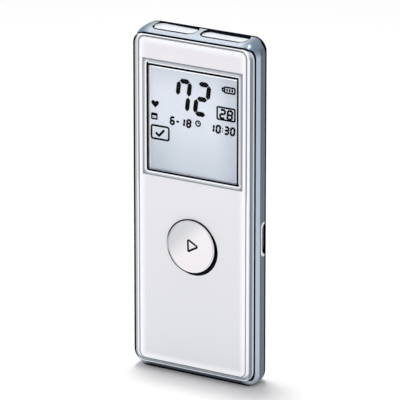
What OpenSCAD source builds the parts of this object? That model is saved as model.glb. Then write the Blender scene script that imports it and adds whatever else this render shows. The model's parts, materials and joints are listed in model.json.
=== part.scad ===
// Pocket ECG recorder: a slim bar with a display and one start button on its
// front, two electrodes in its top end and one in its base, and a charging
// socket in its right side.  It stands on its base.  X is the width, Z is up,
// and the front faces -Y.  Depths are measured backwards from the front face.

/* [Front cover] */
// Width of the front cover
cover_w = 38.4; // [37:0.2:44]
// Height of the front cover
cover_h = 94.5; // [92:0.5:110]
// Corner radius of the front cover
cover_corner = 3.2; // [2.4:0.1:4]
// Depth of the edge that stands in front of the frame
cover_edge = 1; // [0.8:0.05:1.2]
// Depth of the bevel round the front edge
bevel_depth = 0.4; // [0.2:0.05:0.6]
// Width of the bevel along the two long sides
bevel_side = 1.1; // [0.6:0.1:1.4]
// Width of the bevel along the two ends
bevel_end = 0.5; // [0.3:0.05:0.6]
// Thickness of the wall behind the front panel
cover_wall = 0.9; // [0.8:0.05:1.1]
// Thickness of the skirt that reaches back to the circuit board
skirt_wall = 0.9; // [0.7:0.05:1]

/* [Front panel] */
// Thickness of the panel sheet
panel_t = 0.6; // [0.5:0.05:0.7]
// Distance of the panel from the cover's long edges
panel_side = 2.1; // [1.7:0.1:2.3]
// Distance of the panel from the cover's upper edge
panel_top = 0.8; // [0.7:0.05:1.2]
// Distance of the panel from the cover's lower edge
panel_bottom = 1.15; // [0.7:0.05:2]
// Corner radius of the panel
panel_corner = 1.8; // [1:0.1:2.4]
// Groove between the panel and the cover
panel_gap = 0.12; // [0.05:0.01:0.2]

/* [Display] */
// Distance of the display opening from the cover's long edges
window_side = 3.25; // [2.9:0.05:4.2]
// Distance of the display opening from the cover's upper edge
window_top = 6.9; // [6.4:0.1:9]
// Distance of the display opening from the button's upper edge
window_gap = 10.85; // [6:0.05:16]
// Height of the sloped border above and below the picture
border_h = 1.5; // [1.2:0.05:2]
// Depth of the window in its border
window_sink = 0.5; // [0.35:0.05:0.6]
// Thickness of the clear window
window_t = 0.8; // [0.6:0.05:0.85]
// Thickness of each of the two glasses
glass_t = 0.5; // [0.4:0.05:0.55]
// Thickness of a polariser sheet
polariser_t = 0.15; // [0.1:0.01:0.2]
// Height of the contact ledge of the front glass
ledge_h = 1.9; // [1.6:0.1:2.2]
// Wall of the carrier tray round the glasses
carrier_wall = 0.7; // [0.5:0.05:1]
// Height of the carrier tray between the display and the board
carrier_lift = 1.1; // [0.9:0.05:1.4]

/* [Start button] */
// Diameter of the button
button_d = 14.9; // [12:0.1:16]
// Distance from the cover's lower edge up to the middle of the button
button_up = 36.3; // [30:0.1:38]
// How far the button stands out of the panel
button_proud = 0.8; // [0.6:0.05:1.2]
// Travel of the button
button_travel = 0.3; // [0.2:0.05:0.35]
// Radial gap between the button and its hole
button_gap = 0.2; // [0.15:0.01:0.3]
// Depth of the hollow in the button's face
dish_depth = 0.3; // [0.1:0.05:0.4]
// Height of the triangle on the button
mark_h = 3.6; // [2.5:0.1:5]

/* [Frame] */
// Whole depth of the body, without the button
body_t = 9.8; // [9.7:0.05:10.2]
// How far the frame stands out beyond the cover's long sides
side_out = 0.5; // [0.3:0.05:0.8]
// Depth of the ridge along the long sides
ridge_depth = 3.2; // [2.6:0.1:3.6]
// Depth at which the long sides begin to turn in
side_flat = 4.8; // [3.8:0.1:5.2]
// How far the back is drawn in on the long sides
side_round = 4.6; // [3:0.1:5]
// How far the top end rises at its front lip
lip_rise = 1.05; // [0.8:0.05:1.3]
// Depth of that lip
lip_depth = 2.3; // [2:0.1:2.5]
// How far the top end rises at its crown
top_rise = 1.8; // [1.6:0.05:2.4]
// How far the base reaches below the cover
base_drop = 1.9; // [1.6:0.05:2.4]
// Depth at which the flat base begins
base_front = 2.2; // [1.8:0.1:2.5]
// How far the back is drawn in at both ends
end_round = 2.2; // [1.5:0.1:2.5]
// Width of the frame's edge behind the port opening
seam_behind = 0.5; // [0.3:0.05:0.6]
// Thickness of the frame's long sides, at the cover's edge
side_wall = 1.8; // [1.5:0.05:2.1]
// Thickness of the frame's ends, inside the cover's edge
end_wall = 1.6; // [1.3:0.05:2]

/* [Electrodes] */
// Distance of the upper electrodes from the cover's long edges
electrode_side = 4.4; // [3.9:0.1:6]
// Width of the bridge between them
bridge_w = 1.8; // [1.4:0.1:3]
// Place of the bridge, left of the middle
bridge_left = 0.5; // [0:0.1:1.5]
// Distance of an electrode from the lip in front of it
electrode_lip = 0.3; // [0.2:0.05:0.6]
// Distance of an electrode from the seam behind it
electrode_behind = 0.8; // [0.6:0.05:1.2]
// Thickness of an electrode plate
electrode_t = 0.8; // [0.6:0.05:0.9]
// How far the upper electrodes lie below the front lip
electrode_sink = 0.15; // [0.1:0.05:0.3]
// Distance of the lower electrode from the cover's long edges
base_electrode_side = 4.2; // [3.9:0.1:7]
// Diameter of the pins that lead the electrodes inside
pin_d = 1.4; // [1:0.1:1.5]

/* [Charging port] */
// Distance from the cover's lower edge up to the middle of the port
port_up = 40.3; // [39.5:0.1:44]
// Length of the port opening
port_w = 8.7; // [8.4:0.1:9.5]
// Height of the port opening
port_h = 3.1; // [2.9:0.05:3.5]
// Outer width of the socket shell
socket_w = 7.5; // [7:0.05:7.9]
// Outer height of the socket shell
socket_h = 2.6; // [2.4:0.05:2.8]
// Length of the socket shell
socket_l = 5.6; // [5:0.1:6]
// Sheet thickness of the socket shell
socket_sheet = 0.3; // [0.2:0.05:0.35]

/* [Inside] */
// Thickness of the circuit board
board_t = 0.8; // [0.6:0.05:1]
// Distance of the battery cell from the inner long sides
cell_side = 3.9; // [3.4:0.1:8]
// Distance of the battery cell from the inner upper end
cell_top = 8.3; // [7.5:0.1:14]
// Gap between the board and the battery cell
cell_gap = 0.75; // [0.5:0.05:1]
// Thickness of the tape that holds the cell
tape_t = 0.2; // [0.1:0.05:0.25]

/* [Back cover] */
// Thickness of the back wall
back_wall = 1.2; // [1:0.05:1.4]
// Distance of the screws from the inner long sides
screw_side = 4.9; // [4.4:0.1:5.3]
// Distance of the screws from the ends of the inner space
screw_in = 2.6; // [2.4:0.05:2.8]
// Diameter of the screw shank
screw_d = 1.6; // [1.4:0.05:1.7]
// Diameter of the screw head
head_d = 2.8; // [2.5:0.1:3]
// Diameter of the screw bosses
boss_d = 3.8; // [3.4:0.05:4]
// Size of the bare label field, width and height
label_size = [20, 26]; // [12:1:24]
// Depth of the label field
label_sink = 0.2; // [0.1:0.05:0.3]

/* [Hidden] */
$fn = 64;
form_fn = 48;       // sides of the corner arcs inside a hull
sliver = 0.02;      // thickness of the slabs that a hull joins
fit = 0.1;          // gap between pieces that slide into each other
seat = 0.05;        // gap of a piece that lies on another
cut = 1;            // how far a cutting solid runs past the face that it cuts

// Depths, from the front face backwards
face_y = (button_proud - body_t)/2;     // the front face, with the whole part centred on Y = 0
cover_back = panel_t + cover_wall;
glass_front = cover_back + fit;
glass_back = glass_front + 2*glass_t;
board_front = glass_back + polariser_t + carrier_lift;
board_back = board_front + board_t;
port_depth = board_back + socket_h/2;
seam_depth = port_depth + port_h/2 + seam_behind;
back_inner = body_t - back_wall;

// Heights
cover_z0 = base_drop;
cover_z1 = cover_z0 + cover_h;
body_z1 = cover_z1 + top_rise;
button_z = cover_z0 + button_up;
port_z = cover_z0 + port_up;
window_z0 = button_z + button_d/2 + window_gap;
window_z1 = cover_z1 - window_top;
window_z = (window_z0 + window_z1)/2;

// Inner space of the frame, and the room inside the front cover's skirt
cavity_w = cover_w - 2*side_wall;
cavity_z0 = cover_z0 + end_wall;
cavity_z1 = cover_z1 - end_wall;
cavity_corner = 1.6;
room_w = cavity_w - 2*fit - 2*skirt_wall;
room_corner = 0.6;

// Display
window_w = cover_w - 2*window_side;
window_h = window_z1 - window_z0;
carrier_gap = 0.25;             // gap between the carrier tray and the skirt
carrier_floor = 0.6;
carrier_w = room_w - 2*carrier_gap;
glass_w = carrier_w - 2*carrier_wall - 2*seat;
glass_side = 1;                 // how far the glass reaches past the picture at its sides
glass_end = 1.1;                // and above and below
picture_w = glass_w - 2*glass_side;
picture_h = window_h - 2*border_h;
frame_in = 0.1;                 // depth of the border piece's front edge
border_edge = 0.25;             // its flat rim round the slope
lens_lap = 0.65;                // how far the window reaches behind the border
lens_w = picture_w + 2*lens_lap;
lens_h = picture_h + 2*lens_lap;
lens_front = window_sink + seat;
film_lap = 0.45;                // how far the front polariser reaches past the picture
film_in = 0.3;                  // how far the rear polariser stays inside the glass
glass_top = window_z + picture_h/2 + glass_end;
rear_glass_bottom = window_z - picture_h/2 - glass_end;
front_glass_bottom = rear_glass_bottom - ledge_h;
strip_side = 0.9;               // the strip's distance from the sides of the glass
strip_end = 0.25;               // and from the edges of the ledge
ledge_z = front_glass_bottom + ledge_h/2;

// Button and switch
flange_out = 1.1;               // how far the flange reaches past the button
flange_r = button_d/2 + flange_out;
flange_t = 0.5;
flange_front = cover_back + fit;
flange_back = flange_front + flange_t;
cap_top_t = 1.2;                // thickness of the cap's face
cap_wall = 1.2;
cap_bevel = 0.25;
dish_in = 0.6;                  // width of the cap's rim round the hollow
mark_depth = 0.12;
mark_line = 0.35;
post_r = 1.6;
switch_w = 5.2;
switch_h = 1.2;
switch_front = board_front - switch_h;
switch_sheet = 0.12;
switch_floor = 0.25;
plunger_r = 1;
plunger_rest = 0.15;            // gap that is left when the button is pressed
plunger_front = switch_front - button_travel - plunger_rest;
plunger_flange = 0.5;
plunger_flange_t = 0.16;
pocket_r = 1.9;
dome_h = 0.25;
dome_t = 0.08;
solder_w = 0.7;
solder_t = 0.2;
solder_z = 1.85;

// Electrodes and their springs
crown_depth = seam_depth - electrode_behind;
electrode_corner = 1.9;
electrode_span = cover_w - 2*electrode_side;
pin_back = 1.55;                // depth of the pins behind the board
pin_depth = board_back + pin_back;
pin_in = 0.9;                   // how far a pin reaches into the inner space
upper_z = cover_z1 + lip_rise - electrode_sink;     // top of the upper electrodes
bridge_x0 = -bridge_left - bridge_w/2;
bridge_x1 = -bridge_left + bridge_w/2;
left_len = electrode_span/2 + bridge_x0;
right_len = electrode_span/2 - bridge_x1;
left_x = -electrode_span/2 + left_len/2;
right_x = electrode_span/2 - right_len/2;
base_len = cover_w - 2*base_electrode_side;
spring_w = 2.4;
spring_t = 0.2;
spring_rise = 2.3;
spring_foot = 2.6;

// Screws
screw_x = cavity_w/2 - screw_side;
screw_z = [cavity_z0 + screw_in, cavity_z1 - screw_in];
screw_gap = 0.15;               // gap of the screw in its holes
head_t = 0.9;
head_sink = 0.1;
slot_l = 1.6;
slot_w = 0.35;
slot_t = 0.45;
shank_end = 0.6;                // distance of the screw's tip from the front cover's wall
shank_tip = cover_back + shank_end;

// Socket
socket_in = 0.8;                // distance of the socket's mouth from the cover's long edge
socket_mouth = cover_w/2 - socket_in;
socket_back = socket_mouth - socket_l;
socket_wall = 0.6;
tongue_w = 3.9;
tongue_t = 0.7;
tongue_in = 0.7;
tongue_x0 = socket_back + socket_wall;
tongue_x1 = socket_mouth - tongue_in;
contact_pitch = 0.65;
contact_w = 0.3;
contact_t = 0.08;

// Chips on the back of the board.  Sizes are width and height.
chip_lift = 0.1;
leg_w = 0.7;
leg_in = 0.1;                   // how far a leg reaches into the chip
mcu_size = [7, 7];
mcu_t = 1.1;
mcu_x = -1.5;
mcu_z = button_z + 1;
can_size = [12, 12.5];
can_t = 1.7;
can_sheet = 0.2;
can_side = 9.4;                 // distance of its middle from the inner right side
can_up = 14;                    // and from the inner lower end
can_x = cavity_w/2 - can_side;
can_z = cavity_z0 + can_up;
amp_size = [4.4, 6.4];
amp_t = 1;
radio_size = [10, 13];
radio_t = 0.6;
radio_lid = [8.6, 9];
radio_lid_t = 1.3;
radio_lid_low = 1.2;
radio_side = 8.9;               // distance of its middle from the inner left side
radio_x = -cavity_w/2 + radio_side;
radio_z = cavity_z0 + can_up;
antenna_size = [6.5, 2];
antenna_t = 1.1;
antenna_gap = 2.1;
antenna_z = radio_z + radio_size[1]/2 + antenna_gap + antenna_size[1]/2;
memory_size = [3.9, 4.9];
memory_t = 1.3;
memory_side = 5.9;
memory_gap = 2.6;
memory_x = -cavity_w/2 + memory_side;
memory_z = antenna_z + antenna_size[1]/2 + memory_gap + memory_size[1]/2;
charger_size = [1.7, 2.9];
charger_t = 1.1;
charger_in = 4.6;
charger_x = socket_back - charger_in;
crystal_size = [3.2, 1.5];
crystal_t = 0.8;
crystal_x = mcu_x + mcu_size[0]/2 + 2.9;
crystal_z = mcu_z - 2.2;
passive_w = 0.8;
passive_h = 0.9;
passive_t = 0.6;
passive_end = 0.3;
passive_pitch = 2;
passive_gap = 2.4;

// Battery
cell_w = cavity_w - 2*cell_side;
cell_back = back_inner - tape_t;
cell_front = board_back + cell_gap;
cell_t = cell_back - cell_front;
cell_mid = (cell_front + cell_back)/2;
cell_corner = 0.8;
guard_h = 2.6;                  // height of the battery's protection board
guard_t = 1.6;
guard_side = 1;
tape_side = 3;
tape_end = 4;
plug_size = [5.2, 3.6];
plug_less = 0.4;                // how much thinner the plug is than the cell
plug_t = cell_t - plug_less;
plug_side = 5.5;                // distance of its middle from the cell's left side
plug_x = plug_side - cell_w/2;
plug_gap = 1.8;                 // distance of the plug from the chip below it
plug_z = mcu_z + mcu_size[1]/2 + leg_w + plug_gap + plug_size[1]/2;
header_wall = 0.6;
header_end = 0.8;
header_up = 0.6;                // how far the header's cheeks reach past the plug's middle
lead_l = 2.2;                   // least length of the battery leads
lead_r = 0.45;
lead_x = 0.8;
socket_clear = 1.2;             // least distance of the battery from the charging socket
guard_z0 = max(plug_z + plug_size[1]/2 + lead_l, port_z + socket_w/2 + socket_clear);
cell_z0 = guard_z0 + guard_h;
cell_z1 = cavity_z1 - cell_top;
cell_z = (cell_z0 + cell_z1)/2;
cell_h = cell_z1 - cell_z0;

// Back cover
lip_in = 0.9;                   // how far the back cover's lip reaches into the frame
lip_wall = 0.9;
room_taper = 1.2;               // how far its room narrows at the sides
room_taper_end = 0.5;           // and at the ends
fence_w = 0.8;
fence_gap = 0.2;
fence_in = 1;                   // how far the fence stays behind the cell's front
fence_end = 3;
fence_top = 14;
label_down = 8;                 // distance of the label field below the button's middle
label_corner = 1.5;
notch_gap = 0.7;
notch_w = 6;
notch_rim = 0.15;

// ---------------------------------------------------------------- outlines

// Rectangle with round corners, middle at the origin.
module round_rect(w, h, r) {
    square([w - 2*r, h], center = true);
    square([w, h - 2*r], center = true);
    for (x = [-1, 1], z = [-1, 1])
        translate([x*(w/2 - r), z*(h/2 - r)]) circle(r);
}

// Slot with round ends along its length, middle at the origin.
module slot(l, h) {
    square([l - h, h], center = true);
    for (x = [-1, 1]) translate([x*(l - h)/2, 0]) circle(d = h);
}

// An outline drawn in width and height, as a solid between two depths.
module between(d0, d1, x = 0, z = 0) {
    translate([x, face_y + d1, z]) rotate([90, 0, 0]) linear_extrude(d1 - d0) children();
}

// A box by its width, height and two depths, middle at x and z.
module block(w, h, d0, d1, x = 0, z = 0) {
    translate([x - w/2, face_y + d0, z - h/2]) cube([w, d1 - d0, h]);
}

// A round bar along the depth.
module bar(r, d0, d1, x = 0, z = 0) {
    translate([x, face_y + d1, z]) rotate([90, 0, 0]) cylinder(r = r, h = d1 - d0);
}

// ---------------------------------------------------------------- body form

// Share of a quarter ellipse that is used up, from 0 at a to 1 at b.
function quarter(d, a, b) = 1 - sqrt(1 - pow(min(max((d - a)/(b - a), 0), 1), 2));

// How far the body stands out beyond the cover's edge at a depth: along the
// long sides, at the top end and at the base.
function side_at(d) =
    d < ridge_depth ? side_out*(d - cover_edge)/(ridge_depth - cover_edge)
                    : side_out - side_round*quarter(d, side_flat, body_t);
function top_at(d) =
    d < lip_depth ? lip_rise*(d - cover_edge)/(lip_depth - cover_edge) :
    d < crown_depth ? lip_rise + (top_rise - lip_rise)*(d - lip_depth)/(crown_depth - lip_depth)
                    : top_rise - end_round*quarter(d, crown_depth, body_t);
function base_at(d) =
    d < base_front ? base_drop*(d - cover_edge)/(base_front - cover_edge)
                   : base_drop - end_round*quarter(d, seam_depth, body_t);

body_corner = cover_corner + side_out;
side_steps = 8;
back_steps = 9;
frame_depths = concat(
    [cover_edge, lip_depth, base_front, ridge_depth, crown_depth],
    [for (i = [0:side_steps]) side_flat + (seam_depth - side_flat)*i/side_steps]);
back_depths = [for (i = [0:back_steps])
    seam_depth + (body_t - seam_depth)*sin(90*i/back_steps)];

// One thin slice of the body at a depth, on the side of it that is given.
module slice(d, r, back = false) {
    w = cover_w + 2*side_at(d);
    z0 = cover_z0 - base_at(d);
    z1 = cover_z1 + top_at(d);
    start = back ? d - sliver : d;
    between(start, start + sliver, 0, (z0 + z1)/2) round_rect(w, z1 - z0, r, $fn = form_fn);
}

module body_form(depths) {
    last = max(depths);
    hull() for (d = depths)
        slice(d, d > cover_edge ? body_corner : cover_corner, d > last - sliver);
}

// ---------------------------------------------------------------- front

module front_cover() color([0.95, 0.95, 0.96]) difference() {
    union() {
        hull() {
            between(bevel_depth, cover_edge, 0, (cover_z0 + cover_z1)/2)
                round_rect(cover_w, cover_h, cover_corner, $fn = form_fn);
            between(0, sliver, 0, (cover_z0 + cover_z1)/2)
                round_rect(cover_w - 2*bevel_side, cover_h - 2*bevel_end,
                           cover_corner - bevel_end, $fn = form_fn);
        }
        inner_plug(cover_edge - sliver, board_front);
    }
    inner_room(cover_back, board_front + cut);
    panel_outline(-cut, panel_t, 0);
    block(window_w + 2*seat, window_h + 2*seat, -cut, board_front, 0, window_z);
    bar(button_d/2 + button_gap, -cut, board_front, 0, button_z);
}

// The part of the front cover that fits inside the frame.
module inner_plug(d0, d1) {
    between(d0, d1, 0, (cavity_z0 + cavity_z1)/2)
        round_rect(cavity_w - 2*fit, cavity_z1 - cavity_z0 - 2*fit, cavity_corner - fit);
}

// The room inside the skirt, without the screw bosses.
module inner_room(d0, d1) {
    difference() {
        between(d0, d1, 0, (cavity_z0 + cavity_z1)/2)
            round_rect(room_w, cavity_z1 - cavity_z0 - 2*fit - 2*skirt_wall, room_corner);
        difference() {
            for (x = [-1, 1], z = screw_z) bar(boss_d/2, d0 - cut, d1 + cut, x*screw_x, z);
            for (x = [-1, 1], z = screw_z)
                bar(screw_d/2 + seat, shank_tip - seat, d1 + cut, x*screw_x, z);
        }
    }
}

// The panel's outline, made wider by the given groove.
module panel_outline(d0, d1, less) {
    z0 = cover_z0 + panel_bottom + less;
    z1 = cover_z1 - panel_top - less;
    between(d0, d1, 0, (z0 + z1)/2)
        round_rect(cover_w - 2*panel_side - 2*less, z1 - z0, panel_corner - less);
}

module front_panel() color([0.90, 0.91, 0.94]) difference() {
    panel_outline(0, panel_t, panel_gap);
    block(window_w + 2*seat, window_h + 2*seat, -cut, panel_t + cut, 0, window_z);
    bar(button_d/2 + button_gap, -cut, panel_t + cut, 0, button_z);
}

// ---------------------------------------------------------------- display

module display_bezel() color([0.80, 0.82, 0.85]) difference() {
    block(window_w, window_h, frame_in, cover_back, 0, window_z);
    hull() {
        block(window_w - 2*border_edge, window_h - 2*border_edge,
              frame_in - sliver, frame_in, 0, window_z);
        block(picture_w, picture_h, window_sink, window_sink + sliver, 0, window_z);
    }
    block(picture_w, picture_h, frame_in - cut, cover_back + cut, 0, window_z);
    block(lens_w + fit, lens_h + fit, window_sink, cover_back + cut, 0, window_z);
}

module display_window() color([0.85, 0.92, 0.96, 0.35])
    block(lens_w, lens_h, lens_front, lens_front + window_t, 0, window_z);

module front_polariser() color([0.78, 0.82, 0.86])
    block(picture_w + 2*film_lap, picture_h + 2*film_lap, glass_front - polariser_t, glass_front,
          0, window_z);

module lcd_front_glass() color([0.75, 0.85, 0.88, 0.6])
    block(glass_w, glass_top - front_glass_bottom, glass_front, glass_front + glass_t,
          0, (glass_top + front_glass_bottom)/2);

module lcd_rear_glass() color([0.70, 0.82, 0.86, 0.6])
    block(glass_w, glass_top - rear_glass_bottom, glass_front + glass_t, glass_back,
          0, (glass_top + rear_glass_bottom)/2);

module rear_polariser() color([0.72, 0.76, 0.80])
    block(glass_w - 2*film_in, glass_top - rear_glass_bottom - 2*film_in, glass_back,
          glass_back + polariser_t, 0, (glass_top + rear_glass_bottom)/2);

// A tray that holds the glasses on the board, open where the strip passes.
module lcd_carrier() color([0.93, 0.93, 0.90]) difference() {
    z0 = front_glass_bottom - seat;
    z1 = glass_top + seat;
    floor_front = glass_back + polariser_t;
    foot_side = 2;
    foot_end = 4;
    block(carrier_w, z1 - z0 + 2*carrier_wall, cover_back, board_front, 0, (z0 + z1)/2);
    block(glass_w + 2*seat, z1 - z0, cover_back - cut, floor_front, 0, (z0 + z1)/2);
    block(glass_w - 2*foot_side, z1 - z0 - 2*foot_end, floor_front + carrier_floor,
          board_front + cut, 0, (z0 + z1)/2);
    block(glass_w - 2*strip_side + 2*fit, ledge_h - 2*strip_end + 2*fit, glass_front,
          board_front + cut, 0, ledge_z);
    for (x = [-1, 1]) bar(boss_d/2 + fit, cover_back - cut, board_front + cut, x*screw_x, screw_z[1]);
}

module elastomer_strip() color([0.45, 0.45, 0.48])
    block(glass_w - 2*strip_side, ledge_h - 2*strip_end, glass_front + glass_t, board_front, 0, ledge_z);

// ---------------------------------------------------------------- button and switch

module start_button() color([0.92, 0.93, 0.95]) {
    r = button_d/2;
    dish_rings = 10;
    dish = [for (i = [0:dish_rings]) let(a = i/dish_rings)
        [(r - dish_in)*a, -button_proud + dish_depth*(1 - a*a)]];
    cap_inside = cap_top_t - button_proud;
    difference() {
        union() {
            turned(concat(dish, [
                [r - cap_bevel, -button_proud], [r, -button_proud + cap_bevel], [r, flange_front],
                [flange_r, flange_front], [flange_r, flange_back], [0, flange_back]]));
            bar(post_r, cap_inside, plunger_front, 0, button_z);
        }
        difference() {
            bar(r - cap_wall, cap_inside, flange_back + cut, 0, button_z);
            bar(post_r, cap_inside - cut, flange_back + 2*cut, 0, button_z);
        }
        between(-button_proud - cut, -button_proud + dish_depth + mark_depth, 0, button_z)
            play_outline();
    }
}

// A turned solid on the button's axis, from points of radius and depth.
module turned(points) {
    translate([0, face_y, button_z]) rotate([-90, 0, 0]) rotate_extrude() polygon(points);
}

// Outline of the triangle on the button, pointing right.
module play_outline() {
    difference() {
        play_triangle(mark_h);
        play_triangle(mark_h - 3.5*mark_line);
    }
}

module play_triangle(h) {
    w = h*0.92;
    polygon([[-w/3, -h/2], [w*2/3, 0], [-w/3, h/2]]);
}

module switch_plunger() color([0.15, 0.15, 0.16]) {
    flange = switch_front + switch_sheet;
    bar(plunger_r, plunger_front, flange + plunger_flange_t, 0, button_z);
    bar(plunger_r + plunger_flange, flange + sliver, flange + plunger_flange_t, 0, button_z);
}

module switch_cover() color([0.75, 0.76, 0.78]) difference() {
    block(switch_w, switch_w, switch_front, switch_front + switch_sheet, 0, button_z);
    bar(plunger_r + screw_gap, switch_front - cut, switch_front + cut, 0, button_z);
}

// A thin snap dome that stands on the floor of the switch.
module switch_dome() color([0.80, 0.74, 0.55]) {
    rings = 8;
    r = pocket_r - 2*fit;
    foot = board_front - switch_floor;
    turned(concat(
        [for (i = [0:rings]) let(a = i/rings) [r*a, foot - dome_t - dome_rise(a)]],
        [for (i = [0:rings]) let(a = 1 - i/rings) [r*a, foot - dome_rise(a)]]));
}

function dome_rise(a) = dome_h*(1 - a*a);

module switch_base() color([0.18, 0.18, 0.19]) {
    difference() {
        block(switch_w, switch_w, switch_front + switch_sheet, board_front, 0, button_z);
        bar(pocket_r, switch_front - cut, board_front - switch_floor, 0, button_z);
    }
    for (x = [-1, 1], z = [-1, 1])
        block(solder_w, solder_w, board_front - solder_t, board_front,
              x*(switch_w + solder_w)/2, button_z + z*solder_z);
}

// ---------------------------------------------------------------- frame and electrodes

module mid_frame() color([0.72, 0.75, 0.80]) difference() {
    body_form(frame_depths);
    between(0, body_t, 0, (cavity_z0 + cavity_z1)/2)
        round_rect(cavity_w, cavity_z1 - cavity_z0, cavity_corner);
    for (e = [[left_len, left_x], [right_len, right_x]]) {
        electrode_plate(e[0], e[1], lip_depth, upper_z - electrode_t - seat, body_z1 + cut);
        pin(e[1], cavity_z1 - cut, upper_z, pin_d/2 + seat);
    }
    electrode_plate(base_len, 0, base_front, -cut, electrode_t + seat);
    pin(0, 0, cavity_z0 + cut, pin_d/2 + seat);
    translate([cavity_w/2 - cut, face_y + port_depth, port_z]) rotate([90, 0, 90])
        linear_extrude(body_t) rotate(90) slot(port_w, port_h);
}

// An upright solid with the outline of an electrode, seen from above.
module electrode_plate(l, x, lip, z0, z1, less = 0) {
    d0 = lip + electrode_lip;
    translate([x, face_y + (d0 + crown_depth)/2, z0]) linear_extrude(z1 - z0)
        round_rect(l - 2*less, crown_depth - d0 - 2*less, electrode_corner - less);
}

module pin(x, z0, z1, r) {
    translate([x, face_y + pin_depth, z0]) cylinder(r = r, h = z1 - z0);
}

module upper_electrode(l, x) color([0.90, 0.91, 0.93]) {
    electrode_plate(l, x, lip_depth, upper_z - electrode_t, upper_z, seat);
    pin(x, cavity_z1 - pin_in, upper_z - electrode_t + sliver, pin_d/2);
}

module upper_electrode_left() upper_electrode(left_len, left_x);

module upper_electrode_right() upper_electrode(right_len, right_x);

module lower_electrode() color([0.90, 0.91, 0.93]) {
    electrode_plate(base_len, 0, base_front, 0, electrode_t, seat);
    pin(0, electrode_t - sliver, cavity_z0 + pin_in, pin_d/2);
}

// A bent strip from the board to the end of an electrode's pin.  up is 1 for
// the top end and -1 for the base.
module contact_spring(x, pin_end, up) color([0.86, 0.74, 0.45]) {
    arm = pin_depth + spring_t/2;
    z = pin_end - up*spring_rise;
    block(spring_w, spring_foot, board_back, board_back + spring_t, x, z - up*spring_foot/2);
    block(spring_w, spring_t, board_back, arm, x, z - up*spring_t/2);
    block(spring_w, spring_rise + spring_t, arm - spring_t, arm,
          x, z + up*(spring_rise - spring_t)/2);
}

module contact_spring_left() contact_spring(left_x, cavity_z1 - pin_in, 1);

module contact_spring_right() contact_spring(right_x, cavity_z1 - pin_in, 1);

module contact_spring_lower() contact_spring(0, cavity_z0 + pin_in, -1);

// ---------------------------------------------------------------- circuit board

module main_board() color([0.10, 0.42, 0.26]) difference() {
    between(board_front, board_back, 0, (cavity_z0 + cavity_z1)/2)
        round_rect(cavity_w - 4*fit, cavity_z1 - cavity_z0 - 4*fit, cavity_corner - fit);
    for (x = [-1, 1], z = screw_z)
        bar(screw_d/2 + screw_gap, board_front - cut, board_back + cut, x*screw_x, z);
}

// A chip with legs along its two long sides, on the back of the board.
module chip(size, t, x, z, legs) {
    block(size[0], size[1], board_back + chip_lift, board_back + t, x, z);
    for (side = [-1, 1], i = [0:legs - 1])
        block(leg_w, leg_pitch(size[1], legs)/2, board_back, board_back + t/2,
              x + side*(size[0]/2 + leg_w/2 - leg_in),
              z + (i - (legs - 1)/2)*leg_pitch(size[1], legs));
}

function leg_pitch(l, legs) = l/legs;

module microcontroller() color([0.12, 0.12, 0.13]) {
    legs = 8;
    chip(mcu_size, mcu_t, mcu_x, mcu_z, legs);
    for (side = [-1, 1], i = [0:legs - 1])
        block(leg_pitch(mcu_size[0], legs)/2, leg_w, board_back, board_back + mcu_t/2,
              mcu_x + (i - (legs - 1)/2)*leg_pitch(mcu_size[0], legs),
              mcu_z + side*(mcu_size[1]/2 + leg_w/2 - leg_in));
}

module ecg_amplifier() color([0.14, 0.14, 0.15]) chip(amp_size, amp_t, can_x, can_z, 8);

module shield_can() color([0.78, 0.79, 0.80]) difference() {
    block(can_size[0], can_size[1], board_back, board_back + can_t, can_x, can_z);
    block(can_size[0] - 2*can_sheet, can_size[1] - 2*can_sheet,
          board_back - cut, board_back + can_t - can_sheet, can_x, can_z);
}

module memory_chip() color([0.12, 0.12, 0.13]) chip(memory_size, memory_t, memory_x, memory_z, 4);

module charger_chip() color([0.12, 0.12, 0.13]) chip(charger_size, charger_t, charger_x, port_z, 3);

module crystal() color([0.80, 0.80, 0.78])
    between(board_back, board_back + crystal_t, crystal_x, crystal_z)
        slot(crystal_size[0], crystal_size[1]);

module radio_module() {
    lid_front = board_back + radio_t;
    color([0.08, 0.20, 0.40])
        block(radio_size[0], radio_size[1], board_back, lid_front, radio_x, radio_z);
    color([0.78, 0.79, 0.80])
        block(radio_lid[0], radio_lid[1], lid_front, lid_front + radio_lid_t,
              radio_x, radio_z - radio_lid_low);
}

module chip_antenna() color([0.90, 0.88, 0.80])
    block(antenna_size[0], antenna_size[1], board_back, board_back + antenna_t, radio_x, antenna_z);

// Rows of small resistors and capacitors, each with two metal ends.
module passives() {
    passive_row(4, mcu_x, mcu_z - mcu_size[1]/2 - leg_w - passive_gap);
    passive_row(5, can_x, can_z + can_size[1]/2 + passive_gap);
    passive_row(3, charger_x, port_z + charger_size[1]/2 + passive_gap);
}

module passive_row(count, x, z) {
    for (i = [0:count - 1])
        translate([x + (i - (count - 1)/2)*passive_pitch, 0, z]) {
            color([0.75, 0.68, 0.55])
                block(passive_w, passive_h, board_back, board_back + passive_t);
            color([0.80, 0.80, 0.80]) for (end = [-1, 1])
                block(passive_w, passive_end, board_back, board_back + passive_t,
                      0, end*(passive_h + passive_end)/2);
        }
}

// ---------------------------------------------------------------- charging socket

module usb_shell() color([0.80, 0.81, 0.83]) difference() {
    socket_tube(socket_w, socket_h, socket_back, socket_mouth, 0.5);
    socket_tube(socket_w - 2*socket_sheet, socket_h - 2*socket_sheet,
                socket_back + socket_wall, socket_mouth + cut, 0.3);
}

// A bar with the section of the socket, along the width of the body.
module socket_tube(w, h, x0, x1, r) {
    translate([x0, face_y + port_depth, port_z]) rotate([90, 0, 90])
        linear_extrude(x1 - x0) round_rect(h, w, r);
}

module usb_tongue() color([0.13, 0.13, 0.14])
    translate([tongue_x0, face_y + port_depth - tongue_t/2, port_z - tongue_w/2])
        cube([tongue_x1 - tongue_x0, tongue_t, tongue_w]);

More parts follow.
